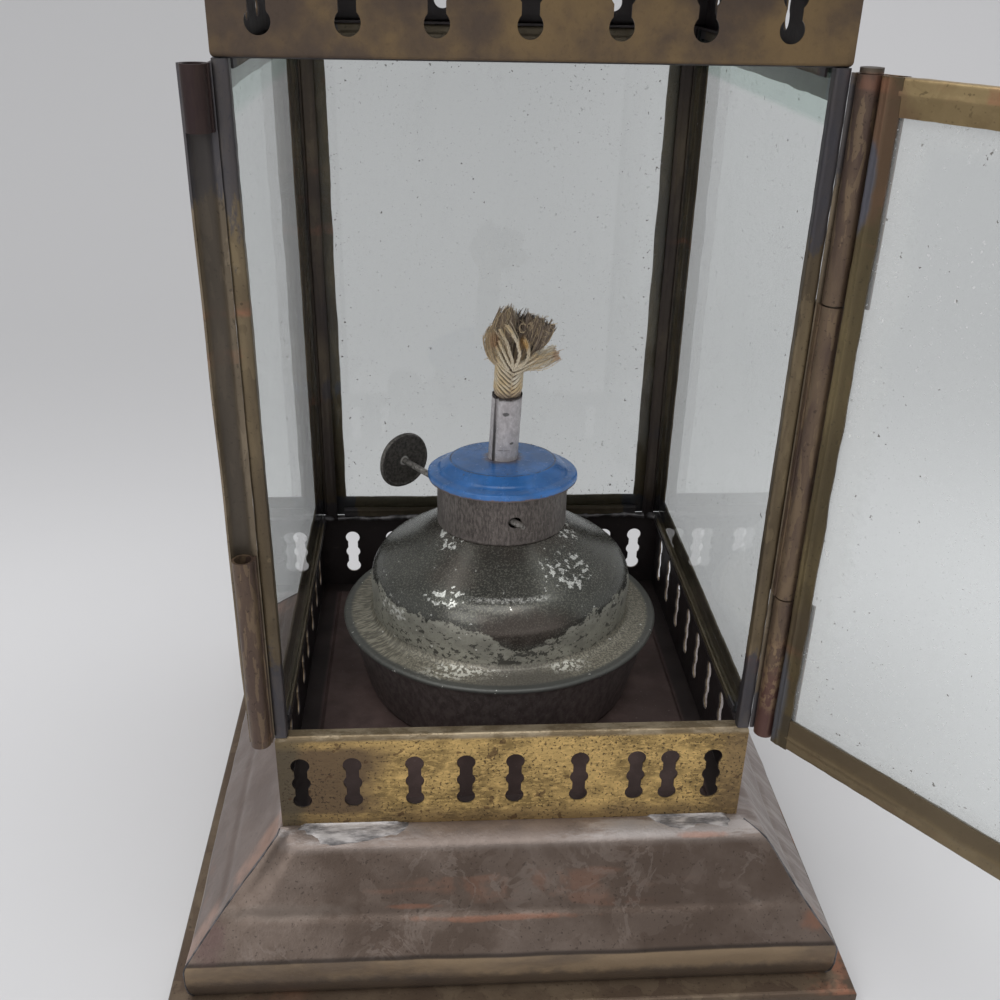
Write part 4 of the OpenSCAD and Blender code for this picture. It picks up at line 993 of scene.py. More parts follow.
def solder_smear(line, side, seed, left, right, thick):
    """A smear of solder on the ledge of a side: a sheet just under the surface that rises out
    of it where smooth noise, drawn out along the wall, is high near the gallery wall."""
    shoulder = spread(line[line[:, 1] > BASE - 5.5 * MM], 44)
    across = np.linspace(left / HALF, right / HALF, 100)
    spot = np.stack(np.broadcast_arrays(across[:, None] * HALF * 0.4, shoulder[:, 0], 0 * shoulder[:, 1]), axis=-1)
    along = (across[:, None] - across[0]) / (across[-1] - across[0])
    down = np.maximum(shoulder[:, 0] - HALF, 0.0) / (4.6 * MM)
    body = 0.75 - (2 * along - 1) ** 4 - 0.45 * down - 1.3 * down ** 4 + 0.5 * ripple(spot, 7 * MM, seed)
    body = body + 0.12 * ripple(spot, 1.8 * MM, seed + 1)
    rise = thick * ease(body, 0.05, 0.45) * (0.8 + 0.2 * ripple(spot, 3 * MM, seed + 2))
    fillet = 0.7 * MM * np.exp(-np.abs(shoulder[:, 0] - HALF) / (0.8 * MM)) * ease(body, 0.0, 0.5)
    same = (across, True, (line[:, 1].min(), line[:, 1].max()))
    outer = sheet_side(shoulder, side, 11 + side, LIP_Z + 25 * MM, 0.16 * MM - rise - fillet, *same)
    inner = sheet_side(shoulder, side, 11 + side, LIP_Z + 25 * MM, 0.5 * MM, *same)
    return shell(outer, inner)


def solder_bead(start, end, radius, seed):
    """A wavy run of solder between two points: a tube whose middle line and radius are uneven."""
    path = np.linspace(start, end, 90)[None]
    path = path + 0.5 * radius * ripple(path, 9 * MM, seed)[..., None] * np.array([0.0, 0.3, 1.0])
    thick = radius * (0.75 + 0.35 * ripple(path, 7 * MM, seed + 1) + 0.15 * ripple(path, 2.5 * MM, seed + 2))
    return strands(path, np.maximum(thick, 0.3 * radius), 12, (0.1, 0.3, 0.95))


def lump(centre, facing, reach, height, seed):
    """A lump of solder: rings round the centre whose radius is uneven, domed by one less the
    square of the share of the radius, standing on a plane that faces the given way."""
    facing = np.asarray(facing, float) / np.linalg.norm(facing)
    side = np.cross(facing, (0.31, 0.17, 0.93))
    side /= np.linalg.norm(side)
    lift = np.cross(facing, side)
    share = np.linspace(0, 1, 9)[:, None]
    turn = np.linspace(0, 2 * pi, 26, endpoint=False)[None, :]
    circle = np.stack([np.cos(turn), np.sin(turn), 0 * turn], axis=-1)
    radius = share * (1 + 0.30 * ripple(circle, 1.9, seed))
    wide, tall = reach
    flat = radius[..., None] * (wide * np.cos(turn)[..., None] * side + tall * np.sin(turn)[..., None] * lift)
    dome = height * np.maximum(1 - share ** 2, 0) ** 0.7 * (1 + 0.3 * ripple(flat, 2.2 * MM, seed + 1))
    outer = np.asarray(centre) + flat + (dome - 0.1 * MM)[..., None] * facing
    inner = np.asarray(centre) + flat - 0.5 * MM * facing
    return shell(outer, inner, True)


# Folded channels

DOOR_OPEN = 127
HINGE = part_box("hinge_pin")


def frame_places():
    """For each glass frame its turn about the vertical, its corner, its width and height. The
    frame's own X runs along its width and its own Y through its thickness."""
    depth = settings("sheet").channel_depth
    hinge = np.array([(HINGE[0][0] + HINGE[1][0]) / 2, (HINGE[0][1] + HINGE[1][1]) / 2, HINGE[0][2]])
    door_side = 3.8 * MM
    door = hinge + turned(np.array([door_side, -depth / 2, 0.0]), 180 + DOOR_OPEN)
    tall = UPPER_Z - FRAME_Z
    return {
        "left": (90, np.array([depth - HALF, -HALF, FRAME_Z]), 2 * HALF, tall),
        "right": (90, np.array([HALF, -HALF, FRAME_Z]), 2 * HALF, tall),
        "back": (0, np.array([depth - HALF, HALF - depth, FRAME_Z]), 2 * HALF - 2 * depth, tall),
        "door": (180 + DOOR_OPEN, door, 2 * (hinge[0] - door_side), tall - 1.6 * MM),
    }


def channel(frame_name, member, width, near, seed, soot_and_shade, films, inner=None):
    """A folded channel carried along its straight run: its web, two rounded folds and two
    flanges with a low ridge make the profile, which sways, and whose cut lips are uneven. The
    flange on the lantern's inside may be narrower. Marks say how much soot and how much of a
    film of solder lies at each point, and what lies between the ridge and the lip."""
    s = settings("sheet")
    turn, corner, wide, tall = frame_places()[frame_name]
    depth, fold = s.channel_depth, 0.8 * MM
    upright = member in ("near", "far")
    start = 0.0 if upright else near - 0.8 * MM
    run = tall if upright else wide - near - s.channel_width + 1.6 * MM
    slim = 0.0 if upright else 0.12 * MM
    lips_at = [inner or width, width]
    if frame_name in ("right", "door"):
        lips_at.reverse()
    corners = np.concatenate([[(lips_at[0], slim)], arc((fold, fold + slim), fold, 270, 180, 5),
                              arc((fold, depth - fold - slim), fold, 180, 90, 5),
                              [(lips_at[1], depth - slim)]])
    line = spread(corners, 46)
    outward = np.sign(line[:, 1] - depth / 2)
    line[:, 1] += 0.2 * MM * outward * np.exp(-((line[:, 0] - 0.40 * width) / (0.5 * MM)) ** 2)
    inner_line = line + s.channel_wall * right_side(line)
    along = np.linspace(0, run, int(run / (2.4 * MM)))[:, None]
    flat = np.stack(np.broadcast_arrays(line[:, 0], line[:, 1], along + 0.37 * seed), axis=-1)
    middle_line = np.stack([0 * along, 0 * along, along + 0.37 * seed], axis=-1)
    fade = ease(np.minimum(along, run - along), 0.0, 16 * MM)
    lips = ease(line[:, 0], 0.3 * width, width)
    shift_a = fade * (s.sway * ripple(middle_line, 75 * MM, seed) + s.ragged_lip * lips * ripple(flat, 17 * MM, seed + 1))
    shift_b = fade * (0.45 * s.sway * ripple(middle_line, 60 * MM, seed + 2) + 0.3 * s.ragged_lip * lips * ripple(flat, 14 * MM, seed + 3))
    shift_a = shift_a + 0.07 * MM * ripple(flat, 5 * MM, seed + 4)
    shift_b = shift_b + 0.07 * MM * ripple(flat, 6 * MM, seed + 5)

    def placed(profile):
        a, b = profile[:, 0] + shift_a, profile[:, 1] + shift_b
        s_run = np.broadcast_to(along, a.shape)
        if member == "near":
            local = (a, b, s_run)
        elif member == "far":
            local = (wide - a, b, s_run)
        elif member == "low":
            local = (start + s_run, b, a)
        else:
            local = (start + s_run, b, tall - a)
        return turned(np.stack(local, axis=-1), turn) + corner

    points, faces = shell(placed(line), placed(inner_line))
    sooty_side = depth if frame_name == "right" else 0.0
    facing_in = 1 - ease(np.abs(line[:, 1] - sooty_side), 0.25 * depth, 0.6 * depth)
    soot_mark = soot_and_shade * (0.75 * facing_in + 0.3 * soot_and_shade) + 0.25 * ripple(flat, 30 * MM, seed + 6) * soot_and_shade
    film_mark = 0 * soot_mark
    for spot, reach, amount in films:
        film_mark = film_mark + amount * np.exp(-((along - spot * run) / (reach * run)) ** 2)
    lip_mark = np.broadcast_to(ease(line[:, 0], 0.40 * width, 0.46 * width), flat.shape[:2])
    marks = {"soot_and_shade": np.tile(np.clip(soot_mark, 0, 1).ravel(), 2), "tinned": np.tile(film_mark.ravel(), 2),
             "lip": np.tile(lip_mark.ravel(), 2)}
    return points, faces, marks


def post_leaf(hand, seed, start, end, dark, films):
    """Strip of sheet folded round the back of a front post's knuckles: an arc about their axis,
    from start to end degrees, that begins on the post's face. hand is 1 on the right and -1 on
    the left. The outer lip sways. Marks say where solder lies and where the strip is painted
    dark: painted shade in the middle of the arc, in the hollow behind the knuckles, as strong
    as dark says."""
    s = settings("sheet")
    axis = np.array([(HINGE[0][0] + HINGE[1][0]) / 2, (HINGE[0][1] + HINGE[1][1]) / 2])
    knuckle = (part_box("post_hinge_knuckle")[1][0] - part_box("hinge_pin")[0][0]) / 2
    radius = knuckle + s.leaf_gap
    bend = arc(axis, radius, start, end, 30)
    line = np.concatenate([[(HALF - 0.2 * MM, -HALF - 0.05 * MM), (HALF + 0.5 * MM, -HALF - 0.2 * MM)], bend])
    line = spread(line, 36)
    line[:, 0] *= hand
    low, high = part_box("door_hinge_knuckles")[0][2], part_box("door_hinge_knuckles")[1][2]
    up = np.linspace(low, high, 110)[:, None]
    share = np.linspace(0, 1, len(line))[None, :]
    sway = s.sway * ripple(np.stack([0 * up, 0 * up, up], axis=-1), 45 * MM, seed) * ease(share, 0.5, 1.0)
    side = right_side(line) * hand

    def face(inset):
        x = line[:, 0] + (inset + sway) * side[:, 0]
        y = line[:, 1] + (inset + sway) * side[:, 1]
        return np.stack([x, y, up + 0 * x], axis=-1)

    points, faces = shell(face(0.0), face(s.channel_wall))
    tall = (up - low) / (high - low)
    film = 0 * share + 0 * up
    for spot, reach, amount in films:
        film = film + amount * np.exp(-((tall - spot) / reach) ** 2)
    # Painted shade: the middle of the arc, in the hollow behind the knuckles, is darkened through the soot mark.
    soot_and_shade = dark * (1 - ease(share, 0.72, 0.92)) * ease(share, 0.0, 0.3) + 0 * up
    marks = {"soot_and_shade": np.tile(soot_and_shade.ravel(), 2), "tinned": np.tile(film.ravel(), 2),
             "lip": np.zeros(2 * film.size)}
    return points, faces, marks


# Lamp shapes

def lean_back(points):
    """Leans the lamp's rings back: a point rises by its distance in front of the axis times a
    slope, nought at the lamp's bottom, the tilt from seam to neck, and the cap's at the cap."""
    s = settings("lamp")
    low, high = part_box("burner_collar")
    levels = (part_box("reservoir_cup")[0][2], SEAM_Z, low[2], high[2])
    slope = np.interp(points[..., 2], levels, (0.0, s.tilt, s.tilt, s.cap_tilt))
    moved = points.copy()
    moved[..., 2] += (LAMP_AXIS[1] - points[..., 1]) * slope
    return moved


def lamp_shell(name, line, steps, seed, dent, size):
    """A spun sheet of the lamp, leaned back."""
    points, faces = revolved_sheet(line, settings("lamp").tin, LAMP_AXIS, steps, seed, dent, size)
    return piece(name, lean_back(points), faces)


def dome_profile():
    """Radius and height of the dome's outer face: a rolled seam, a flat flange, an upright
    wall, an arc of the shoulder's radius, and from where its slope meets the neck a cone."""
    s = settings("lamp")
    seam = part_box("reservoir_cup")[1][0] + s.seam_flare
    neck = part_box("burner_neck")[1][0]
    rise = NECK_Z - SEAM_Z
    shoulder = arc((s.dome_radius - s.dome_bend, 14.6 * MM), s.dome_bend, 0, 60, 30)
    end = np.array([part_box("burner_collar")[1][0], rise - 0.9 * MM])
    corners = np.concatenate([
        [(seam - 1.0 * MM, -1.1 * MM), (seam - 0.1 * MM, -0.8 * MM), (seam + 0.1 * MM, 0.0),
         (seam - 0.3 * MM, 0.7 * MM), (seam - 1.2 * MM, 0.9 * MM), (seam - 2.4 * MM, 0.8 * MM),
         (s.dome_foot + 3 * MM, 1.5 * MM), (s.dome_foot + 0.9 * MM, 2.3 * MM),
         (s.dome_foot, 3.8 * MM), (s.dome_foot + 0.1 * MM, 8 * MM)],
        shoulder, [end, (neck - 2 * MM, rise - 0.2 * MM)]])
    return soften(spread(corners, 170), 2) + (0.0, SEAM_Z)


def cup_profile():
    """Radius and height of the cup's outer face, from the middle of its bottom to its seam."""
    s = settings("lamp")
    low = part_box("reservoir_cup")[0][2]
    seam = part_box("reservoir_cup")[1][0] + s.seam_flare
    rise = SEAM_Z - low
    corners = np.concatenate([[(0.0, 0.0)], arc((s.cup_foot - 2 * MM, 2 * MM), 2 * MM, 270, 340, 6),
                              [(seam - 2.2 * MM, rise - 2.4 * MM), (seam - 0.9 * MM, rise - 0.8 * MM),
                               (seam - 0.7 * MM, rise - 0.2 * MM)]])
    return soften(spread(corners, 110), 1) + (0.0, low)


def cap_profile():
    """Radius and height of the painted cap: an upright rim, a narrow ledge, a domed slope and
    a flat plateau with a raised hole for the tube."""
    s = settings("lamp")
    low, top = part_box("burner_cap")[0][2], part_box("burner_cap")[1][2]
    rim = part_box("burner_cap")[1][0]
    rise = top - low - 0.4 * MM
    tube = (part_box("wick_tube")[1][0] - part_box("wick_tube")[0][0]) / 2
    drops = [(rim - 0.8 * MM, -7.1), (rim - 0.1 * MM, -6.9), (rim + 0.1 * MM, -6.1), (rim, -4.8),
             (rim - 0.5 * MM, -4.35), (rim - 1.6 * MM, -4.1), (rim - 3.2 * MM, -3.75), (rim - 3.9 * MM, -3.2),
             (rim - 4.4 * MM, -2.6), (s.plateau + 1.7 * MM, -1.05), (s.plateau + 0.5 * MM, -0.2),
             (s.plateau + 0.15 * MM, -0.12), (s.plateau - 0.25 * MM, -0.12), (s.plateau - 0.6 * MM, 0.05),
             (s.plateau - 5 * MM, 0.2), (tube + 0.1 * MM, 0.4)]
    line = spread([(out, rise + drop * MM) for out, drop in drops], 200)
    return soften(line, 2) + (0.0, low)


def shaft_axis():
    """The wick shaft's direction towards the thumbwheel, a point at its free end and its length."""
    wheel = np.array(middle("thumbwheel"))
    heading = np.array([cos(radians(127)), sin(radians(127)), 0.0])
    run = 70 * MM
    return heading, wheel - heading * run, run


def lean(points):
    """Leans what stands above the painted cap to the right, in step with its height."""
    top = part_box("burner_cap")[1][2]
    share = np.maximum(points[..., 2] - top, 0.0) / (TUBE_TOP - top)
    moved = points.copy()
    moved[..., 0] += settings("lamp").tube_lean * share
    return moved


def rolled_tube():
    """A strip rolled into a tube: the turn goes a little past once round, and the strip's
    first part dips under its last by one wall."""
    wall = settings("lamp").tube_wall
    radius = (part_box("wick_tube")[1][0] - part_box("wick_tube")[0][0]) / 2
    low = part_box("wick_tube")[0][2]
    turn = np.linspace(0, 2 * pi + 0.42, 130)[None, :]
    height = np.linspace(low, TUBE_TOP, 90)[:, None]
    out = radius - (wall + 0.06 * MM) * (1 - ease(turn, 0.44, 0.72)) + 0 * height
    seam = radians(-165)
    spot = np.stack([np.cos(turn + seam) * radius + 0 * height, np.sin(turn + seam) * radius + 0 * height,
                     height + 0 * turn], axis=-1)
    dent = 0.06 * MM * ripple(spot, 7 * MM, 71)
    ragged = 0.22 * MM * ripple(spot, 5 * MM, 72) * ease(height, TUBE_TOP - 3 * MM, TUBE_TOP)

    def wound(inset):
        r = out + dent - inset
        face = np.stack([LAMP_AXIS[0] + r * np.cos(turn + seam), LAMP_AXIS[1] + r * np.sin(turn + seam),
                         height + ragged], axis=-1)
        return lean(face)

    return shell(wound(0.0), wound(wall - 0.04 * MM))


def braid():
    """Yarns of a round braid: each starts at the front, rises round one side to the back and
    dips inwards at both ends; left and right yarns alternate. The lowest are scorched."""
    s = settings("lamp")
    low, high = TUBE_TOP - 12 * MM, TUBE_TOP + 8.6 * MM
    pitch = 1.62 * MM
    t = np.linspace(0, 1, 30)
    paths = []
    for arm in range(int((high - low) / pitch) + 1):
        for hand in (1, -1):
            height = low + arm * pitch + (hand - 1) * pitch / 4 + t * 13.0 * MM
            swell = ease(height, TUBE_TOP - 1 * MM, TUBE_TOP + 3 * MM)
            round_off = 4.55 * MM + (s.braid_radius - 4.55 * MM) * swell - s.yarn_radius
            dive = 1 - 0.30 * (1 - ease(np.minimum(t, 1 - t), 0.0, 0.10))
            turn = radians(-78) + hand * (-0.10 + t * (pi + 0.20))
            r = round_off * dive
            paths.append(np.stack([LAMP_AXIS[0] + r * np.cos(turn), LAMP_AXIS[1] + r * np.sin(turn), height], -1))
    paths = np.array(paths)
    paths = paths + 0.10 * MM * ripple(paths, 4 * MM, 81)[..., None]
    radius = s.yarn_radius * (1 + 0.12 * ripple(paths, 2.5 * MM, 82))
    points, faces = strands(lean(paths), radius, 8)
    scorched = 0.13 + 0.4 * (1 - ease(points[:, 2], TUBE_TOP + 0.5 * MM, TUBE_TOP + 4 * MM))
    return points, faces, scorched + 0.10 * ripple(points, 5 * MM, 83)


def bundle(paths, radius, burnt, sides=4):
    """Strands along paths given in millimetres from the top of the wick tube, and how singed
    they are: burnt holds one value for each station."""
    origin = np.array([LAMP_AXIS[0], LAMP_AXIS[1], TUBE_TOP])
    points, faces = strands(lean(origin + paths * MM), radius, sides, (0.55, 0.35, 0.2))
    burnt = np.clip(np.concatenate([burnt[:, :1], burnt, burnt[:, -1:]], axis=1), 0, 1)
    return points, faces, np.repeat(burnt.ravel(), sides)


def curve(base, bend, tip, share):
    """(1-t)2 base + 2t(1-t) bend + t2 tip."""
    base, bend, tip = (np.asarray(spot, float) for spot in (base, bend, tip))
    return (1 - share) ** 2 * base + 2 * share * (1 - share) * bend + share ** 2 * tip


def lobe(base, bend, tip, wide, deep, rounded, locks, burnt, seed):
    """Wool of one lobe. Each lock follows the lobe's curve, set off sideways by its own share
    of the lobe's half width and depth there, which grow from the foot; a rounded lobe closes
    over its end as an ellipse does. Locks curl, fibres wind round each, and hairs stand off."""
    draw = np.random.default_rng(seed)
    lock = np.repeat(np.arange(locks), settings("lamp").fibres)
    count = len(lock)
    least, slack = (0.84, 0.1) if rounded else (0.93, 0.035)
    length = draw.uniform(least, 1.0, (locks, 1))[lock] * draw.uniform(1 - slack, 1 + 0.5 * slack, (count, 1))
    t = np.linspace(0, 1, 15)[None, :] * length
    middle_line = curve(base, bend, tip, t[..., None])
    along = curve(base, bend, tip, t[..., None] + 0.02) - middle_line
    along /= np.linalg.norm(along, axis=-1, keepdims=True)
    side = np.cross(along, (0.0, 1.0, 0.0))
    side /= np.linalg.norm(side, axis=-1, keepdims=True)
    grow = 0.30 + 0.70 * ease(t, -0.25, 0.75)
    if rounded:
        grow = grow * np.sqrt(np.maximum(1 - (np.maximum(t - 0.55, 0) / 0.49) ** 2, 0.04))
    round_way = draw.uniform(0, 2 * pi, (locks, 1))[lock]
    out = np.sqrt(draw.uniform(0.05, 1.0, (locks, 1)))[lock] * grow
    offset = (wide * out * np.cos(round_way))[..., None] * side
    offset[..., 1] += deep * out * np.sin(round_way)
    curl = draw.normal(size=(locks, 1, 3))[lock] * 0.5 * ease(t, 0.3, 1.0)[..., None]
    paths = middle_line + offset + curl * np.sin(6 * t[..., None] + draw.uniform(0, 6, (locks, 1, 1))[lock])
    wind = draw.uniform(0, 2 * pi, (count, 1)) + draw.uniform(2, 7, (count, 1)) * t
    gap = draw.uniform(0.1, 0.7, (count, 1)) * (0.5 + 0.9 * t)
    paths = paths + (gap * np.cos(wind))[..., None] * side
    paths[..., 1] += gap * np.sin(wind)
    paths = paths + 0.10 * draw.normal(size=paths.shape) * ease(t, 0.1, 0.8)[..., None]
    thick = settings("lamp").fibre_radius * draw.uniform(0.6, 1.3, (count, 1)) * (1 - 0.4 * t)
    shade = 0.12 * draw.normal(size=(locks, 1))[lock] + 0.08 * draw.normal(size=(count, 1))
    singed = burnt[0] + (burnt[1] - burnt[0]) * ease(t, 0.05, 0.75) + shade
    wool = bundle(paths, thick, singed, 3)
    some = draw.integers(0, count, 2 * locks)
    at = draw.integers(6, 15, 2 * locks)
    start, away = paths[some, at][:, None, :], offset[some, at][:, None, :]
    away = away / (np.linalg.norm(away, axis=-1, keepdims=True) + 0.3) + 0.5 * draw.normal(size=away.shape)
    run = np.linspace(0, 1, 7)[None, :, None]
    hairs = start + run * away * draw.uniform(0.4, 1.4, (2 * locks, 1, 1)) + run ** 2 * draw.normal(size=away.shape) * 0.6
    stray = bundle(hairs, np.full(hairs.shape[:2], 0.09 * MM), singed[some, at][:, None] * 0.5 + 0 * hairs[..., 0], 3)
    return [wool, stray]


def tuft():
    """The frayed tip: a woolly rounded lobe on the left, a fan with a cut end on the right, a
    dark gap with a loop between them, thick cream yarns in front, a pale curl at the left and
    a loose pale lock to the right."""
    lobes = [
        ((-0.4, 0.5, 9.5), (-4.8, 0.0, 17.5), (-1.5, 0.0, 30.8), 4.1, 3.6, True, 74, (0.34, 0.50)),
        ((1.0, 2.0, 10.0), (1.6, 2.5, 20.0), (3.0, 1.2, 29.0), 1.8, 2.2, True, 24, (0.74, 0.92)),
        ((3.0, 0.8, 9.5), (6.0, 0.0, 16.5), (10.2, 0.0, 27.0), 5.0, 2.7, False, 86, (0.42, 0.60)),
        ((1.5, 2.5, 10.0), (3.0, 3.5, 20.0), (6.0, 3.0, 28.0), 2.4, 2.0, False, 20, (0.74, 0.94)),
        ((-1.0, -0.5, 9.5), (-8.8, -1.0, 13.5), (-6.4, -1.0, 24.6), 2.2, 2.3, True, 32, (0.16, 0.28)),
        ((1.6, -1.6, 9.3), (7.2, -2.2, 12.0), (16.2, -1.4, 15.6), 3.0, 2.0, False, 40, (0.08, -0.05)),
    ]
    parts = []
    for number, row in enumerate(lobes):
        parts += lobe(*row, 200 + number)
    yarns = [
        ((1.2, -4.9, 10.2), (-2.0, -5.5, 14.5), (-4.6, -4.4, 20.6), 0.52),
        ((1.1, -4.9, 11.0), (-0.2, -5.7, 17.5), (-4.6, -4.6, 24.6), 0.56),
        ((1.2, -4.9, 11.0), (5.2, -5.8, 17.5), (-2.4, -4.4, 26.0), 0.62),
        ((1.6, -4.9, 10.8), (8.3, -5.0, 13.5), (4.0, -4.6, 21.0), 0.55),
        ((-0.6, -5.0, 10.6), (-3.0, -5.2, 14.0), (-5.4, -3.8, 18.3), 0.48),
        ((0.8, -5.0, 9.0), (-2.2, -5.2, 10.6), (-4.9, -3.4, 14.2), 0.46),
        ((1.4, -4.9, 10.2), (5.0, -5.1, 11.4), (10.0, -3.4, 14.6), 0.48),
        ((1.4, -4.9, 11.4), (4.6, -5.0, 13.0), (8.6, -3.4, 15.6), 0.48),
        ((1.4, -4.9, 8.9), (4.4, -4.9, 9.8), (7.4, -3.0, 12.0), 0.46),
    ]
    share = np.linspace(0, 1, 26)[None, :]
    for number, (base, bend, tip, thick) in enumerate(yarns):
        draw = np.random.default_rng(300 + number)
        path = curve(base, bend, tip, share[..., None])
        path = path + 0.12 * ripple(path, 5.0, 320 + number)[..., None]
        for ply in (0.0, 0.5):
            turn = 2 * pi * (share * 4.5 + ply)
            twist = np.stack([np.cos(turn), np.sin(turn), 0.4 * np.sin(turn)], axis=-1) * 0.42 * thick
            singed = 0.09 + 0.2 * ease(share, 0.75, 1.0) + 0 * share
            parts.append(bundle(path + twist, 0.72 * thick * MM + 0 * share, singed, 7))
        fray = draw.normal(size=(12, 1, 3)) * (0.25 + 0.8 * share[..., None] ** 2) * thick
        hair = draw.uniform(0.06, 0.11, (12, 1)) * MM + 0 * share
        parts.append(bundle(path + fray, hair, np.full((12, 26), 0.12), 3))
    for spot, reach, start in (((3.3, -2.6, 24.4), 1.15, 0.1), ((5.6, -2.6, 24.8), 0.8, 0.75)):
        turn = 2 * pi * (0.8 * share + start)
        loop = np.stack([reach * np.cos(turn), 0.8 * np.sin(turn), reach * 1.15 * np.sin(turn)], axis=-1) + spot
        for number in range(5):
            frizz = 0.25 * ripple(loop, 1.8, 340 + number)[..., None]
            parts.append(bundle(loop + frizz + 0.12 * (number % 3), 0.09 * MM + 0 * share, 0.42 + 0 * share, 4))
    points, faces = joined([part[:2] for part in parts])
    return points, faces, np.concatenate([part[2] for part in parts])


def straight_cutter(start, end, radius):
    """A short round bar that bores a hole between two points."""
    path = np.linspace(start, end, 3)[None]
    points, faces = strands(path, np.full((1, 3), radius), 40, (0.37, 0.21, 0.9))
    return piece("cutter", points, faces)


# Finishes by name, each built on its first use

MADE = {}


def finish(key):
    """The named finish of the lantern."""
    if key in MADE:
        return MADE[key]
    c = settings("finish")
    dark = tuple(c.dark_patina)
    film = dict(marks=True, soot_and_shade=dark, tinned=tuple(c.tinned))
    build = {
        "foot": lambda: weathered("foot patina", (0.105, 0.072, 0.050), (0.20, 0.15, 0.10), c.copper, 0.4),
        "skirt": lambda: weathered("skirt patina with painted light", c.brown_brass, c.pale_patina, c.copper, 0.22, 0.62,
                                   (0.28, 0.48), 30 * MM, streaks=0.18, change=skirt_marks(c)),
        "roof": lambda: weathered("roof patina", c.brown_brass, c.pale_patina, c.copper, 0.35, 0.6, (0.36, 0.6)),
        "channel": lambda: weathered("olive channel", c.olive_brass, (0.25, 0.19, 0.11), c.copper, 0.45, 0.6,
                                     (0.32, 0.58), 13 * MM, stretch=(1, 1, 0.3), **film),
        "rail": lambda: weathered("dark rail", (0.125, 0.100, 0.062), (0.20, 0.165, 0.11), c.copper, 0.35, 0.6,
                                  (0.34, 0.6), 14 * MM, **film),
        "door": lambda: weathered("golden channel", (0.27, 0.188, 0.088), (0.46, 0.345, 0.175), c.copper, 0.3, 0.62,
                                  (0.30, 0.55), 18 * MM, change=door_marks, **film),
        "door stile": lambda: weathered("olive door stile", (0.120, 0.090, 0.044), (0.24, 0.182, 0.088), c.copper, 0.4,
                                        0.6, (0.32, 0.55), 14 * MM, stretch=(1, 1, 0.3), change=door_marks, **film),
        "knuckle": lambda: weathered("brown knuckle", (0.086, 0.055, 0.042), (0.195, 0.135, 0.080), c.copper, 0.6, 0.5,
                                     (0.34, 0.58), 6 * MM, stretch=(1, 1, 0.22), streaks=0.25, change=knuckle_marks),
        # On the leaf strip the near black soot colour is painted shade in the hollow behind the knuckles.
        "leaf": lambda: weathered("leaf strip", (0.145, 0.112, 0.075), (0.27, 0.212, 0.145), c.copper, 0.5, 0.5,
                                  (0.36, 0.6), 12 * MM, stretch=(1, 1, 0.3), streaks=0.2, marks=True,
                                  soot_and_shade=(0.048, 0.040, 0.033), tinned=tuple(c.tinned)),
        "pin": lambda: weathered("dark wire", (0.06, 0.045, 0.035), (0.14, 0.11, 0.08), c.copper, 0.3),
        "ring": lambda: weathered("handled wire", (0.24, 0.175, 0.085), (0.42, 0.33, 0.18), c.copper, 0.3,
                                  0.75, (0.25, 0.5), 12 * MM),
        "gallery": lambda: gallery_finish("gallery patina", (0.15, 0.11, 0.065), (0.24, 0.176, 0.104), dark, HALF,
                                          0.6, 0.6),
        "upper": lambda: gallery_finish("upper gallery patina", (0.088, 0.062, 0.046), (0.215, 0.142, 0.066), dark,
                                        HALF, 0.85, 0.12),
        "band": lambda: front_band_finish(c, HALF, BASE, FRAME_Z),
        "floor": lambda: floor_finish(c),
        "solder": lambda: solder_finish("wiped solder", (0.095, 0.088, 0.088), c.solder, 1.6 * MM, (0.16, 0.5, 1)),
        "seam": lambda: solder_finish("old solder", toned(0.45, c.seam), toned(1.35, c.seam)),
        "lamp": lambda: lamp_finish(c, SEAM_Z, NECK_Z),
        "cup": lambda: tin_finish("dark cup", (0.092, 0.072, 0.068), (0.170, 0.138, 0.130), 2 * MM, (1, 1, 0.5),
                                  (0.42, 0.65), 0.5, 0.1),
        "collar": lambda: tin_finish("streaked collar", (0.086, 0.073, 0.066), (0.21, 0.180, 0.165), 0.7 * MM,
                                     (1, 1, 0.3), (0.34, 0.6), 0.5, 0.08),
        "cap": lambda: enamel_finish(c, (*LAMP_AXIS, 0.0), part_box("burner_cap")[0][2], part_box("burner_cap")[1][2]),
        "tube": lambda: tin_finish("rolled tin", (0.42, 0.385, 0.385), (0.60, 0.56, 0.56), 1.5 * MM, (1, 1, 0.6),
                                   (0.45, 0.7), 0.12, 0.08, burnt_rim),
        "steel": lambda: tin_finish("dark steel", (0.062, 0.057, 0.053), (0.16, 0.145, 0.130), 1.1 * MM, (1, 1, 1),
                                    (0.36, 0.6), 0.5, 0.1, painted_boss_highlight),
        "shaft": lambda: tin_finish("drawn steel", (0.13, 0.120, 0.11), (0.42, 0.39, 0.36), 1.3 * MM, (1, 1, 1),
                                    (0.3, 0.5), 0.6, 0.1),
        "neck": lambda: tin_finish("neck tin", (0.12, 0.11, 0.10), (0.3, 0.28, 0.25), 2 * MM, (1, 1, 1)),
        "cotton": lambda: cotton_finish(c),
    }[key]
    MADE[key] = build()
    return MADE[key]


# Operators, one for each piece or group of like pieces

class LanternOperator(bpy.types.Operator):
    """Base of the lantern's operators: build does the work, and an error in it is raised."""
    bl_options = {"REGISTER", "UNDO"}

    def execute(self, context):
        self.build()
        return {"FINISHED"}


def soft_lamp(name, place, aim, size, power):
    """A square area lamp that shines from place towards aim."""
    data = bpy.data.lights.new(name, "AREA")
    data.size = size
    data.energy = power
    lamp = bpy.data.objects.new(name, data)
    bpy.context.scene.collection.objects.link(lamp)
    heading = Matrix.Translation(place).to_translation() - Matrix.Translation(aim).to_translation()
    lamp.matrix_world = Matrix.Translation(place) @ heading.to_track_quat("Z", "Y").to_matrix().to_4x4()


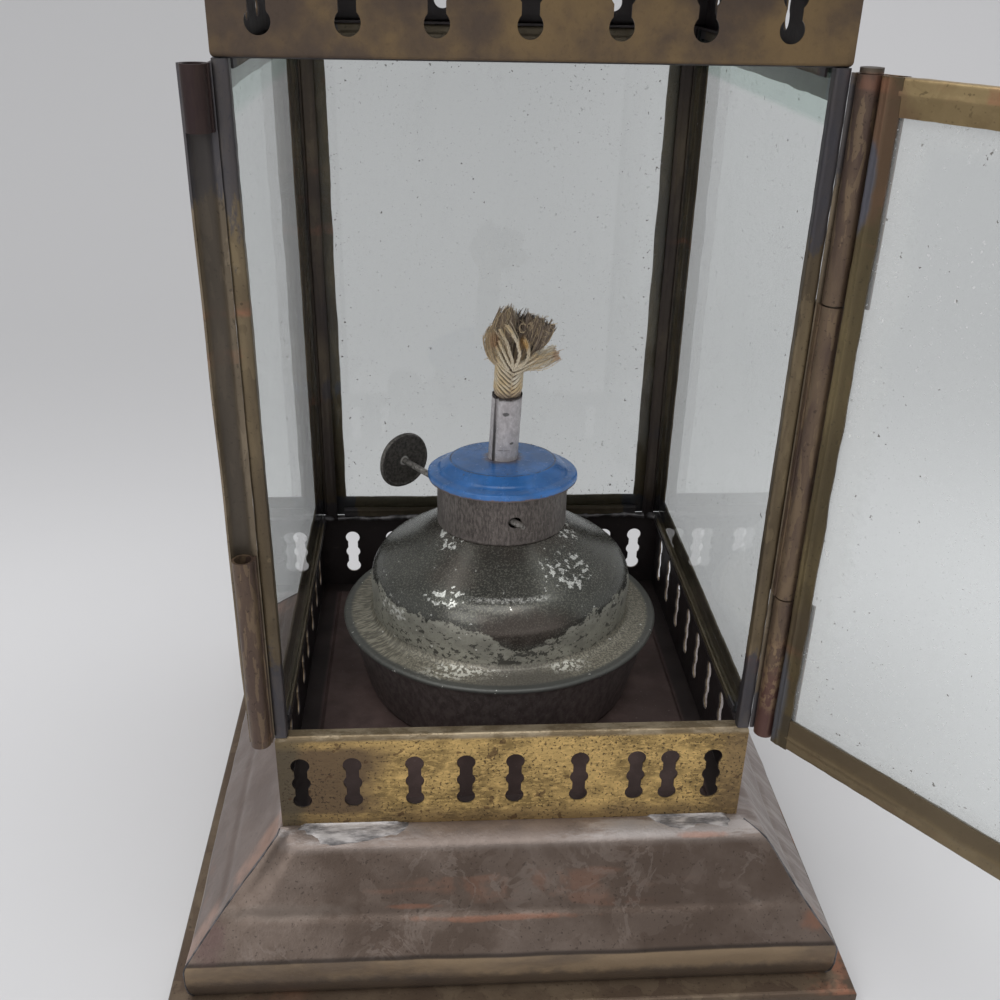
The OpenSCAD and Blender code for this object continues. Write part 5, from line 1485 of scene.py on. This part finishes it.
class LANTERN_OT_stage(LanternOperator):
    """Camera, soft lamps, light from all around, and a pale floor that sweeps up behind, painted darker towards the
    back and on the left as painted shade
    """
    bl_idname = "lantern.stage"
    bl_label = "Stage"

    def build(self):
        s = settings("studio")
        scene = bpy.context.scene
        data = bpy.data.cameras.new("photograph")
        data.sensor_fit = "HORIZONTAL"
        data.sensor_width = 36.0
        data.lens = s.lens
        data.clip_start = 0.01
        ahead = np.array([sin(s.yaw) * cos(s.pitch), cos(s.yaw) * cos(s.pitch), sin(s.pitch)])
        right = np.array([cos(s.yaw), -sin(s.yaw), 0.0])
        above = np.cross(right, ahead)
        across = right * cos(s.roll) + above * sin(s.roll)
        upward = above * cos(s.roll) - right * sin(s.roll)
        camera = bpy.data.objects.new("photograph", data)
        scene.collection.objects.link(camera)
        turn = Matrix(np.stack([across, upward, -ahead], axis=1).tolist()).to_4x4()
        camera.matrix_world = Matrix.Translation(s.place) @ turn
        scene.camera = camera
        scene.view_settings.view_transform = "Standard"
        soft_lamp("overhead lamp", (-0.15, -0.25, 1.9), (0, 0, 0.1), 1.9, s.key)
        soft_lamp("front lamp", (-1.0, -1.5, 1.1), (0, 0, 0.12), 1.1, s.front)
        world = bpy.data.worlds.new("studio air")
        world.use_nodes = True
        sky = world.node_tree.nodes["Background"]
        sky.inputs["Color"].default_value = (0.96, 0.98, 1.0, 1.0)
        sky.inputs["Strength"].default_value = s.sky
        scene.world = world
        line = np.concatenate([[(-2.6, 0.0), (0.26, 0.0)], arc((0.26, 0.45), 0.45, 270, 360, 24),
                               [(0.71, 2.6)]])
        line = spread(line, 120)
        across = np.linspace(-2.4, 2.4, 3)[:, None]
        face = np.stack(np.broadcast_arrays(across, line[:, 0], line[:, 1]), axis=-1)
        behind = face + np.stack([0 * line[:, 0], 0.02 + 0 * line[:, 0], -0.02 + 0 * line[:, 0]], axis=-1)
        floor = piece("studio_floor", *shell(face - (0, 0, 0.0001), behind), crease=60)
        f = Finish("studio paper with painted shade")
        # Painted shade: the floor and the backdrop are painted darker towards the back and on the left.
        depth = f.between(f.step(f.axis("Y"), 0.10, 0.48), 1.0, 0.70)
        right = f.between(f.step(f.axis("X"), 0.04, 0.30), 1.0 / 1.2, 1.0)
        colour = f.blend(f.times(depth, right), (0.0, 0.0, 0.0), toned(1.2, s.floor))
        f.set(Base_Color=colour, Roughness=0.95, Specular_IOR_Level=0.1)
        floor.data.materials.append(f.material)


class LANTERN_OT_base(LanternOperator):
    """Skirt of four dented panels with soldered hips, foot rim and floor plate"""
    bl_idname = "lantern.base"
    bl_label = "Base"

    def build(self):
        s = settings("sheet")
        line = skirt_profile()
        for side, name in enumerate(SIDES):
            outer = sheet_side(line, side, 11 + side, LIP_Z + 25 * MM, shoulder=True)
            inner = sheet_side(line, side, 11 + side, LIP_Z + 25 * MM, s.sheet, shoulder=True)
            skirt = piece("skirt_" + name + "_sheet", *shell(outer, inner))
            dress(skirt, "case", "skirt_brass", finish("skirt"), "skirt_" + name)
        seams = piece("skirt_hip_solder", *hip_seams(line[line[:, 0] > HALF + 1.2 * MM], s.bead, 41, True))
        dress(seams, "case", "skirt_brass", finish("seam"))
        smears = [solder_smear(line, 0, 51, -72 * MM, -30 * MM, 0.4 * MM),
                  solder_smear(line, 0, 54, 44 * MM, 72 * MM, 0.2 * MM),
                  solder_smear(line, 1, 57, -60 * MM, -30 * MM, 0.4 * MM),
                  solder_smear(line, 1, 60, 30 * MM, 66 * MM, 0.4 * MM),
                  solder_smear(line, 2, 63, -66 * MM, -34 * MM, 0.45 * MM),
                  solder_smear(line, 2, 66, 30 * MM, 62 * MM, 0.4 * MM),
                  solder_smear(line, 3, 69, -64 * MM, -36 * MM, 0.4 * MM),
                  solder_smear(line, 3, 72, 34 * MM, 68 * MM, 0.45 * MM)]
        smeared = piece("skirt_solder_smears", *joined(smears))
        dress(smeared, "case", "skirt_brass", finish("solder"))
        dress_nodes(finish("foot"), "foot_plate")
        dress_nodes(finish("floor"), "floor_plate")


class LANTERN_OT_galleries(LanternOperator):
    """Pierced walls below and above the glass"""
    bl_idname = "lantern.galleries"
    bl_label = "Galleries"

    def build(self):
        dress_nodes(finish("band"), "gallery_front")
        dress_nodes(finish("gallery"), "gallery_right", "gallery_back", "gallery_left")
        dress_nodes(finish("upper"), *("upper_" + name for name in SIDES))


class LANTERN_OT_frames(LanternOperator):
    """Folded channels of the three fixed glass frames"""
    bl_idname = "lantern.frames"
    bl_label = "Fixed frames"

    def build(self):
        wide = settings("sheet").channel_width
        corners = [(0.0, 0.05, 1.0), (1.0, 0.05, 1.0)]
        members = [
            ("left_front_stile", "left", "near", 501, 0.25, [(0.0, 0.17, 1.3), (0.96, 0.20, 1.0)]),
            ("left_back_stile", "left", "far", 502, 0.85, corners),
            ("left_bottom_rail", "left", "low", 503, 0.3, corners),
            ("left_top_rail", "left", "high", 504, 0.3, corners),
            ("right_front_stile", "right", "near", 505, 0.25, [(0.0, 0.15, 1.3), (0.92, 0.17, 1.0)]),
            ("right_back_stile", "right", "far", 506, 0.85, corners),
            ("right_bottom_rail", "right", "low", 507, 0.12, corners),
            ("right_top_rail", "right", "high", 508, 0.3, corners),
            ("back_left_stile", "back", "near", 509, 0.85, corners + [(0.3, 0.06, 0.5)]),
            ("back_right_stile", "back", "far", 510, 0.85, corners + [(0.2, 0.05, 0.5)]),
            ("back_bottom_rail", "back", "low", 511, 0.55, corners),
            ("back_top_rail", "back", "high", 512, 0.35, corners),
        ]
        s = settings("sheet")
        for node, frame_name, member, seed, soot_and_shade, films in members:
            inner = s.back_flange if frame_name == "back" else s.inner_flange
            points, faces, marks = channel(frame_name, member, wide, wide, seed, soot_and_shade, films, inner)
            strip = piece(node + "_sheet", points, faces, marks, 50)
            kind = "channel" if node.endswith("stile") else "rail"
            dress(strip, "case", "channel_brass", finish(kind), node)


class LANTERN_OT_door(LanternOperator):
    """Folded channels of the door"""
    bl_idname = "lantern.door"
    bl_label = "Door"

    def build(self):
        wide, narrow, deep = settings("sheet").channel_width, 6 * MM, 11 * MM
        members = [
            ("door_hinge_stile", "near", narrow, 521, []),
            ("door_free_stile", "far", wide, 522, [(0.0, 0.04, 1.0), (1.0, 0.04, 1.0)]),
            ("door_bottom_rail", "low", deep, 523, [(0.5, 0.05, 0.5)]),
            ("door_top_rail", "high", wide, 524, [(1.0, 0.04, 1.0)]),
        ]
        for node, member, width, seed, films in members:
            points, faces, marks = channel("door", member, width, narrow, seed, 0.15, films, width - 2.2 * MM)
            strip = piece(node + "_sheet", points, faces, marks, 50)
            kind = "door stile" if node.endswith("stile") else "door"
            dress(strip, "door", "door_brass", finish(kind), node)


class LANTERN_OT_panes(LanternOperator):
    """Panes of the frames and the door"""
    bl_idname = "lantern.panes"
    bl_label = "Panes"

    def build(self):
        c = settings("finish")
        flange = settings("sheet").inner_flange
        wide = settings("sheet").channel_width
        looks = {"left": (flange, wide, 0.6, 0.05), "right": (flange, wide, 0.6, 0.05),
                 "back": (settings("sheet").back_flange, wide, 0.0, 0.04), "door": (wide, 0.0, 0.0, 0.22)}
        for name, (covered, strip, green, haze) in looks.items():
            turn, corner, width, tall = frame_places()[name]
            heading = (cos(radians(turn)), sin(radians(turn)), 0.0)
            pane = glass_finish(c, name + " window glass", tuple(corner), heading, width, corner[2],
                                corner[2] + tall, covered, strip, green, haze)
            dress_nodes(pane, name + "_glass")


class LANTERN_OT_hinges(LanternOperator):
    """Knuckles and pin of the hinge and the closure, and the lumps of solder at the corners"""
    bl_idname = "lantern.hinges"
    bl_label = "Hinges and solder"

    def build(self):
        dress_nodes(finish("knuckle"), "door_hinge_knuckles", "door_catch_knuckle",
                    "post_hinge_knuckle", "post_catch_knuckles")
        dress_nodes(finish("pin"), "hinge_pin")
        inside, top = HALF - 4 * MM, FRAME_Z
        spots = []
        for number, (x, y) in enumerate([(-1, 1), (1, 1), (-1, -1), (1, -1)]):
            if y > 0:
                spots.append(((x * (inside - 1 * MM), y * (inside - 1 * MM), top + 0.6 * MM), (-0.5 * x, -0.5 * y, 1.2),
                              (2.6 * MM, 1.7 * MM), 0.9 * MM, 601 + number))
            spots += [((x * HALF, y * (HALF - 4 * MM), top + 4 * MM), (x, 0, 0), (3.0 * MM, 4.6 * MM), 0.5 * MM, 611 + number),
                      ((x * HALF, y * (HALF - 4 * MM), UPPER_Z - 4 * MM), (x, 0, 0), (3.0 * MM, 4.4 * MM), 0.5 * MM, 621 + number)]
        for number, x in enumerate((-1, 1)):
            spots += [((x * (HALF - 8 * MM), HALF, top + 4 * MM), (0, 1, 0), (4 * MM, 3.6 * MM), 0.5 * MM, 631 + number),
                      ((x * (HALF - 8 * MM), HALF, UPPER_Z - 4 * MM), (0, 1, 0), (4 * MM, 3.6 * MM), 0.5 * MM, 635 + number)]
        runs = [solder_bead((-66 * MM, inside - 0.4 * MM, top + 0.4 * MM), (-30 * MM, inside - 0.4 * MM, top + 0.2 * MM),
                            1.1 * MM, 641),
                solder_bead((28 * MM, inside - 0.4 * MM, top + 0.2 * MM), (67 * MM, inside - 0.4 * MM, top + 0.5 * MM),
                            1.1 * MM, 645)]
        lumps = piece("case_corner_solder", *joined([lump(*spot) for spot in spots] + runs))
        dress(lumps, "case", "channel_brass", finish("seam"))
        # dark is the strength of the painted shade in the middle of each leaf's arc.
        for name, hand, span, dark, films in (("left", -1, (132, 10), 0.8, [(0.94, 0.12, 1.0)]),
                                              ("right", 1, (132, 76), 0.5,[(0.93, 0.10, 0.7), (0.0, 0.1, 0.8)])):
            points, faces, marks = post_leaf(hand, 651 + hand, *span, dark, films)
            leaf = piece(name + "_post_leaf", points, faces, marks, 40)
            dress(leaf, "case", "knuckle_brass", finish("leaf"))


class LANTERN_OT_roof(LanternOperator):
    """Roof of four dented panels with soldered hips, crown plate, chimney and smoke cap"""
    bl_idname = "lantern.roof"
    bl_label = "Roof"

    def build(self):
        s = settings("sheet")
        line = roof_profile()
        for side, name in enumerate(SIDES):
            outer = sheet_side(line, side, 811 + side)
            inner = sheet_side(line, side, 811 + side, None, s.sheet)
            roof = piece("roof_" + name + "_sheet", *shell(outer, inner))
            dress(roof, "case", "roof_brass", finish("roof"), "roof_" + name)
        seams = piece("roof_hip_solder", *hip_seams(line[line[:, 0] > 38 * MM], s.bead, 841))
        dress(seams, "case", "roof_brass", finish("seam"))
        low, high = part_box("smoke_cap")
        reach = high[0]
        cap_line = spread([(reach, low[2]), (reach, low[2] + 2.2 * MM), (reach - 0.8 * MM, low[2] + 3.0 * MM),
                           (5 * MM, high[2]), (0.0, high[2])], 90)
        cap = piece("smoke_cap_sheet", *revolved_sheet(cap_line, s.sheet, (0.0, 0.0), 160, 851, 0.2 * MM))
        dress(cap, "case", "roof_brass", finish("roof"), "smoke_cap")
        dress_nodes(finish("roof"), "crown_plate")
        dress_nodes(finish("gallery"), "chimney")


class LANTERN_OT_ring(LanternOperator):
    """Wire eye and carrying ring"""
    bl_idname = "lantern.ring"
    bl_label = "Ring"

    def build(self):
        dress_nodes(finish("ring"), "top_eye", "carrying_ring")


class LANTERN_OT_reservoir(LanternOperator):
    """Dome and cup of the lamp, and its neck"""
    bl_idname = "lantern.reservoir"
    bl_label = "Reservoir"

    def build(self):
        dome = lamp_shell("lamp_dome", dome_profile(), 220, 701, 0.13 * MM, 26 * MM)
        dress(dome, "lamp", "lamp_tin", finish("lamp"), "reservoir_dome")
        cup = lamp_shell("lamp_cup", cup_profile(), 200, 705, 0.12 * MM, 24 * MM)
        dress(cup, "lamp", "lamp_tin", finish("cup"), "reservoir_cup")
        dress_nodes(finish("neck"), "burner_neck")


class LANTERN_OT_burner(LanternOperator):
    """Collar with its two holes, painted cap and rolled wick tube"""
    bl_idname = "lantern.burner"
    bl_label = "Burner"

    def build(self):
        low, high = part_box("burner_collar")
        reach = high[0] + settings("lamp").collar_flare
        line = soften(spread([(reach - 0.1 * MM, low[2] - 1.2 * MM), (reach + 0.15 * MM, low[2] - 0.8 * MM),
                              (reach, low[2]), (reach, high[2]), (reach - 0.1 * MM, high[2] + 0.9 * MM)], 60), 1)
        collar = lamp_shell("burner_collar_tin", line, 180, 711, 0.08 * MM, 18 * MM)
        heading, start, run = shaft_axis()
        bored(collar, straight_cutter(start, start + heading * 22 * MM, 2.1 * MM))
        bored(collar, straight_cutter(start + heading * 38 * MM, start + heading * 60 * MM, 1.35 * MM))
        dress(collar, "burner", "collar_tin", finish("collar"), "burner_collar")
        cap = lamp_shell("burner_cap_painted", cap_profile(), 220, 715, 0.10 * MM, 20 * MM)
        dress(cap, "burner", "cap_paint", finish("cap"), "burner_cap")
        tube = piece("wick_tube_rolled", *rolled_tube())
        wheel = np.array(middle("spur_wheel"))
        to_wheel = wheel - np.array([*LAMP_AXIS, wheel[2]])
        wall = np.array([*LAMP_AXIS, 0.0]) + to_wheel / np.linalg.norm(to_wheel) * 5.3 * MM
        reach = (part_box("spur_wheel")[1][2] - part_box("spur_wheel")[0][2]) / 2
        bored(tube, straight_cutter(wall + (0, 0, wheel[2] - reach), wall + (0, 0, wheel[2] + reach), 2.3 * MM))
        dress(tube, "burner", "tube_tin", finish("tube"), "wick_tube")


class LANTERN_OT_wick(LanternOperator):
    """Braided wick with its frayed and singed tip"""
    bl_idname = "lantern.wick"
    bl_label = "Wick"

    def build(self):
        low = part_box("wick")[0][2]
        core_line = spread([(0.0, low), (3.9 * MM, low), (3.9 * MM, TUBE_TOP + 9 * MM), (0.0, TUBE_TOP + 11 * MM)], 90)
        core = revolved(core_line, LAMP_AXIS, 32)
        index = closed(np.arange(core.shape[0] * core.shape[1]).reshape(core.shape[:2]))
        core_points = lean(core).reshape(-1, 3)
        # The core's mark of 0.66 makes it dark brown: painted shade that shows in the gaps between the yarns.
        parts = [(core_points, quads(index), np.full(len(core_points), 0.66)), braid(), tuft()]
        points, faces = joined([part[:2] for part in parts])
        marks = {"singed": np.concatenate([part[2] for part in parts])}
        wick = piece("wick_braid", points, faces, marks, 60)
        dress(wick, "wick", "wick_cotton", finish("cotton"), "wick")


class LANTERN_OT_raiser(LanternOperator):
    """Shaft, thumbwheel and spur wheel that raise the wick"""
    bl_idname = "lantern.raiser"
    bl_label = "Wick raiser"

    def build(self):
        heading, start, run = shaft_axis()
        path = np.linspace(start, start + heading * (run - 0.2 * MM), 60)[None]
        radius = np.full((1, 60), 1.2 * MM)
        radius[0, :3] = (0.7 * MM, 1.0 * MM, 1.15 * MM)
        shaft = piece("wick_shaft_rod", *strands(path, radius, 24))
        dress(shaft, "wick_wheel", "wheel_steel", finish("shaft"), "wick_shaft")
        size = (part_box("thumbwheel")[1][2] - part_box("thumbwheel")[0][2]) / 2
        front = spread([(0.0, 1.35 * MM), (1.7 * MM, 1.3 * MM), (2.1 * MM, 0.7 * MM), (2.6 * MM, 0.5 * MM),
                        (size - 1.5 * MM, 0.5 * MM), (size - 1.1 * MM, 0.9 * MM), (size - 0.5 * MM, 1.05 * MM),
                        (size, 0.6 * MM), (size, 0.0)], 70)
        back = spread([(0.0, -0.5 * MM), (size - 1.5 * MM, -0.5 * MM), (size - 1.1 * MM, -0.85 * MM),
                       (size - 0.4 * MM, -0.8 * MM), (size - 0.2 * MM, -0.2 * MM), (size - 0.05 * MM, -0.05 * MM)], 70)
        dish = 0.25 * MM
        outer, inner = revolved(front, (0, 0), 96), revolved(back, (0, 0), 96)
        points, faces = shell(outer, inner, True)
        points[:, 2] += dish * ripple(points, 16 * MM, 721)
        side = np.array([-heading[1], heading[0], 0.0])
        turn = np.stack([side, (0.0, 0.0, 1.0), heading])
        points = points @ turn + np.array(middle("thumbwheel"))
        disc = piece("thumbwheel_disc", points, faces)
        dress(disc, "wick_wheel", "wheel_steel", finish("steel"), "thumbwheel")
        dress_nodes(finish("neck"), "spur_wheel")


class LANTERN_PT_panel(bpy.types.Panel):
    """Lists the lantern's settings and operators"""
    bl_idname = "LANTERN_PT_panel"
    bl_label = "Square kerosene lantern"
    bl_space_type = "VIEW_3D"
    bl_region_type = "UI"
    bl_category = "Lantern"

    def draw(self, context):
        for operator in OPERATORS:
            self.layout.operator(operator.bl_idname)
        for name in GROUPS:
            box = self.layout.box()
            group = settings(name)
            for key in group.__annotations__:
                box.prop(group, key)


OPERATORS = (LANTERN_OT_stage, LANTERN_OT_base, LANTERN_OT_galleries, LANTERN_OT_frames, LANTERN_OT_door,
             LANTERN_OT_panes, LANTERN_OT_hinges, LANTERN_OT_roof, LANTERN_OT_ring, LANTERN_OT_reservoir,
             LANTERN_OT_burner, LANTERN_OT_wick, LANTERN_OT_raiser)
GROUPS = {"sheet": LanternSheetSettings, "lamp": LanternLampSettings, "finish": LanternFinishSettings,
          "studio": LanternStudioSettings}


def register():
    for group in GROUPS.values():
        bpy.utils.register_class(group)
    for name, group in GROUPS.items():
        setattr(bpy.types.Scene, "lantern_" + name, PointerProperty(type=group))
    for operator in OPERATORS:
        bpy.utils.register_class(operator)
    bpy.utils.register_class(LANTERN_PT_panel)


def unregister():
    bpy.utils.unregister_class(LANTERN_PT_panel)
    for operator in reversed(OPERATORS):
        bpy.utils.unregister_class(operator)
    for name, group in GROUPS.items():
        delattr(bpy.types.Scene, "lantern_" + name)
        bpy.utils.unregister_class(group)


def main():
    register()
    bpy.ops.lantern.stage()
    bpy.ops.lantern.base()
    bpy.ops.lantern.galleries()
    bpy.ops.lantern.frames()
    bpy.ops.lantern.door()
    bpy.ops.lantern.panes()
    bpy.ops.lantern.hinges()
    bpy.ops.lantern.roof()
    bpy.ops.lantern.ring()
    bpy.ops.lantern.reservoir()
    bpy.ops.lantern.burner()
    bpy.ops.lantern.wick()
    bpy.ops.lantern.raiser()


if __name__ == "__main__":
    main()
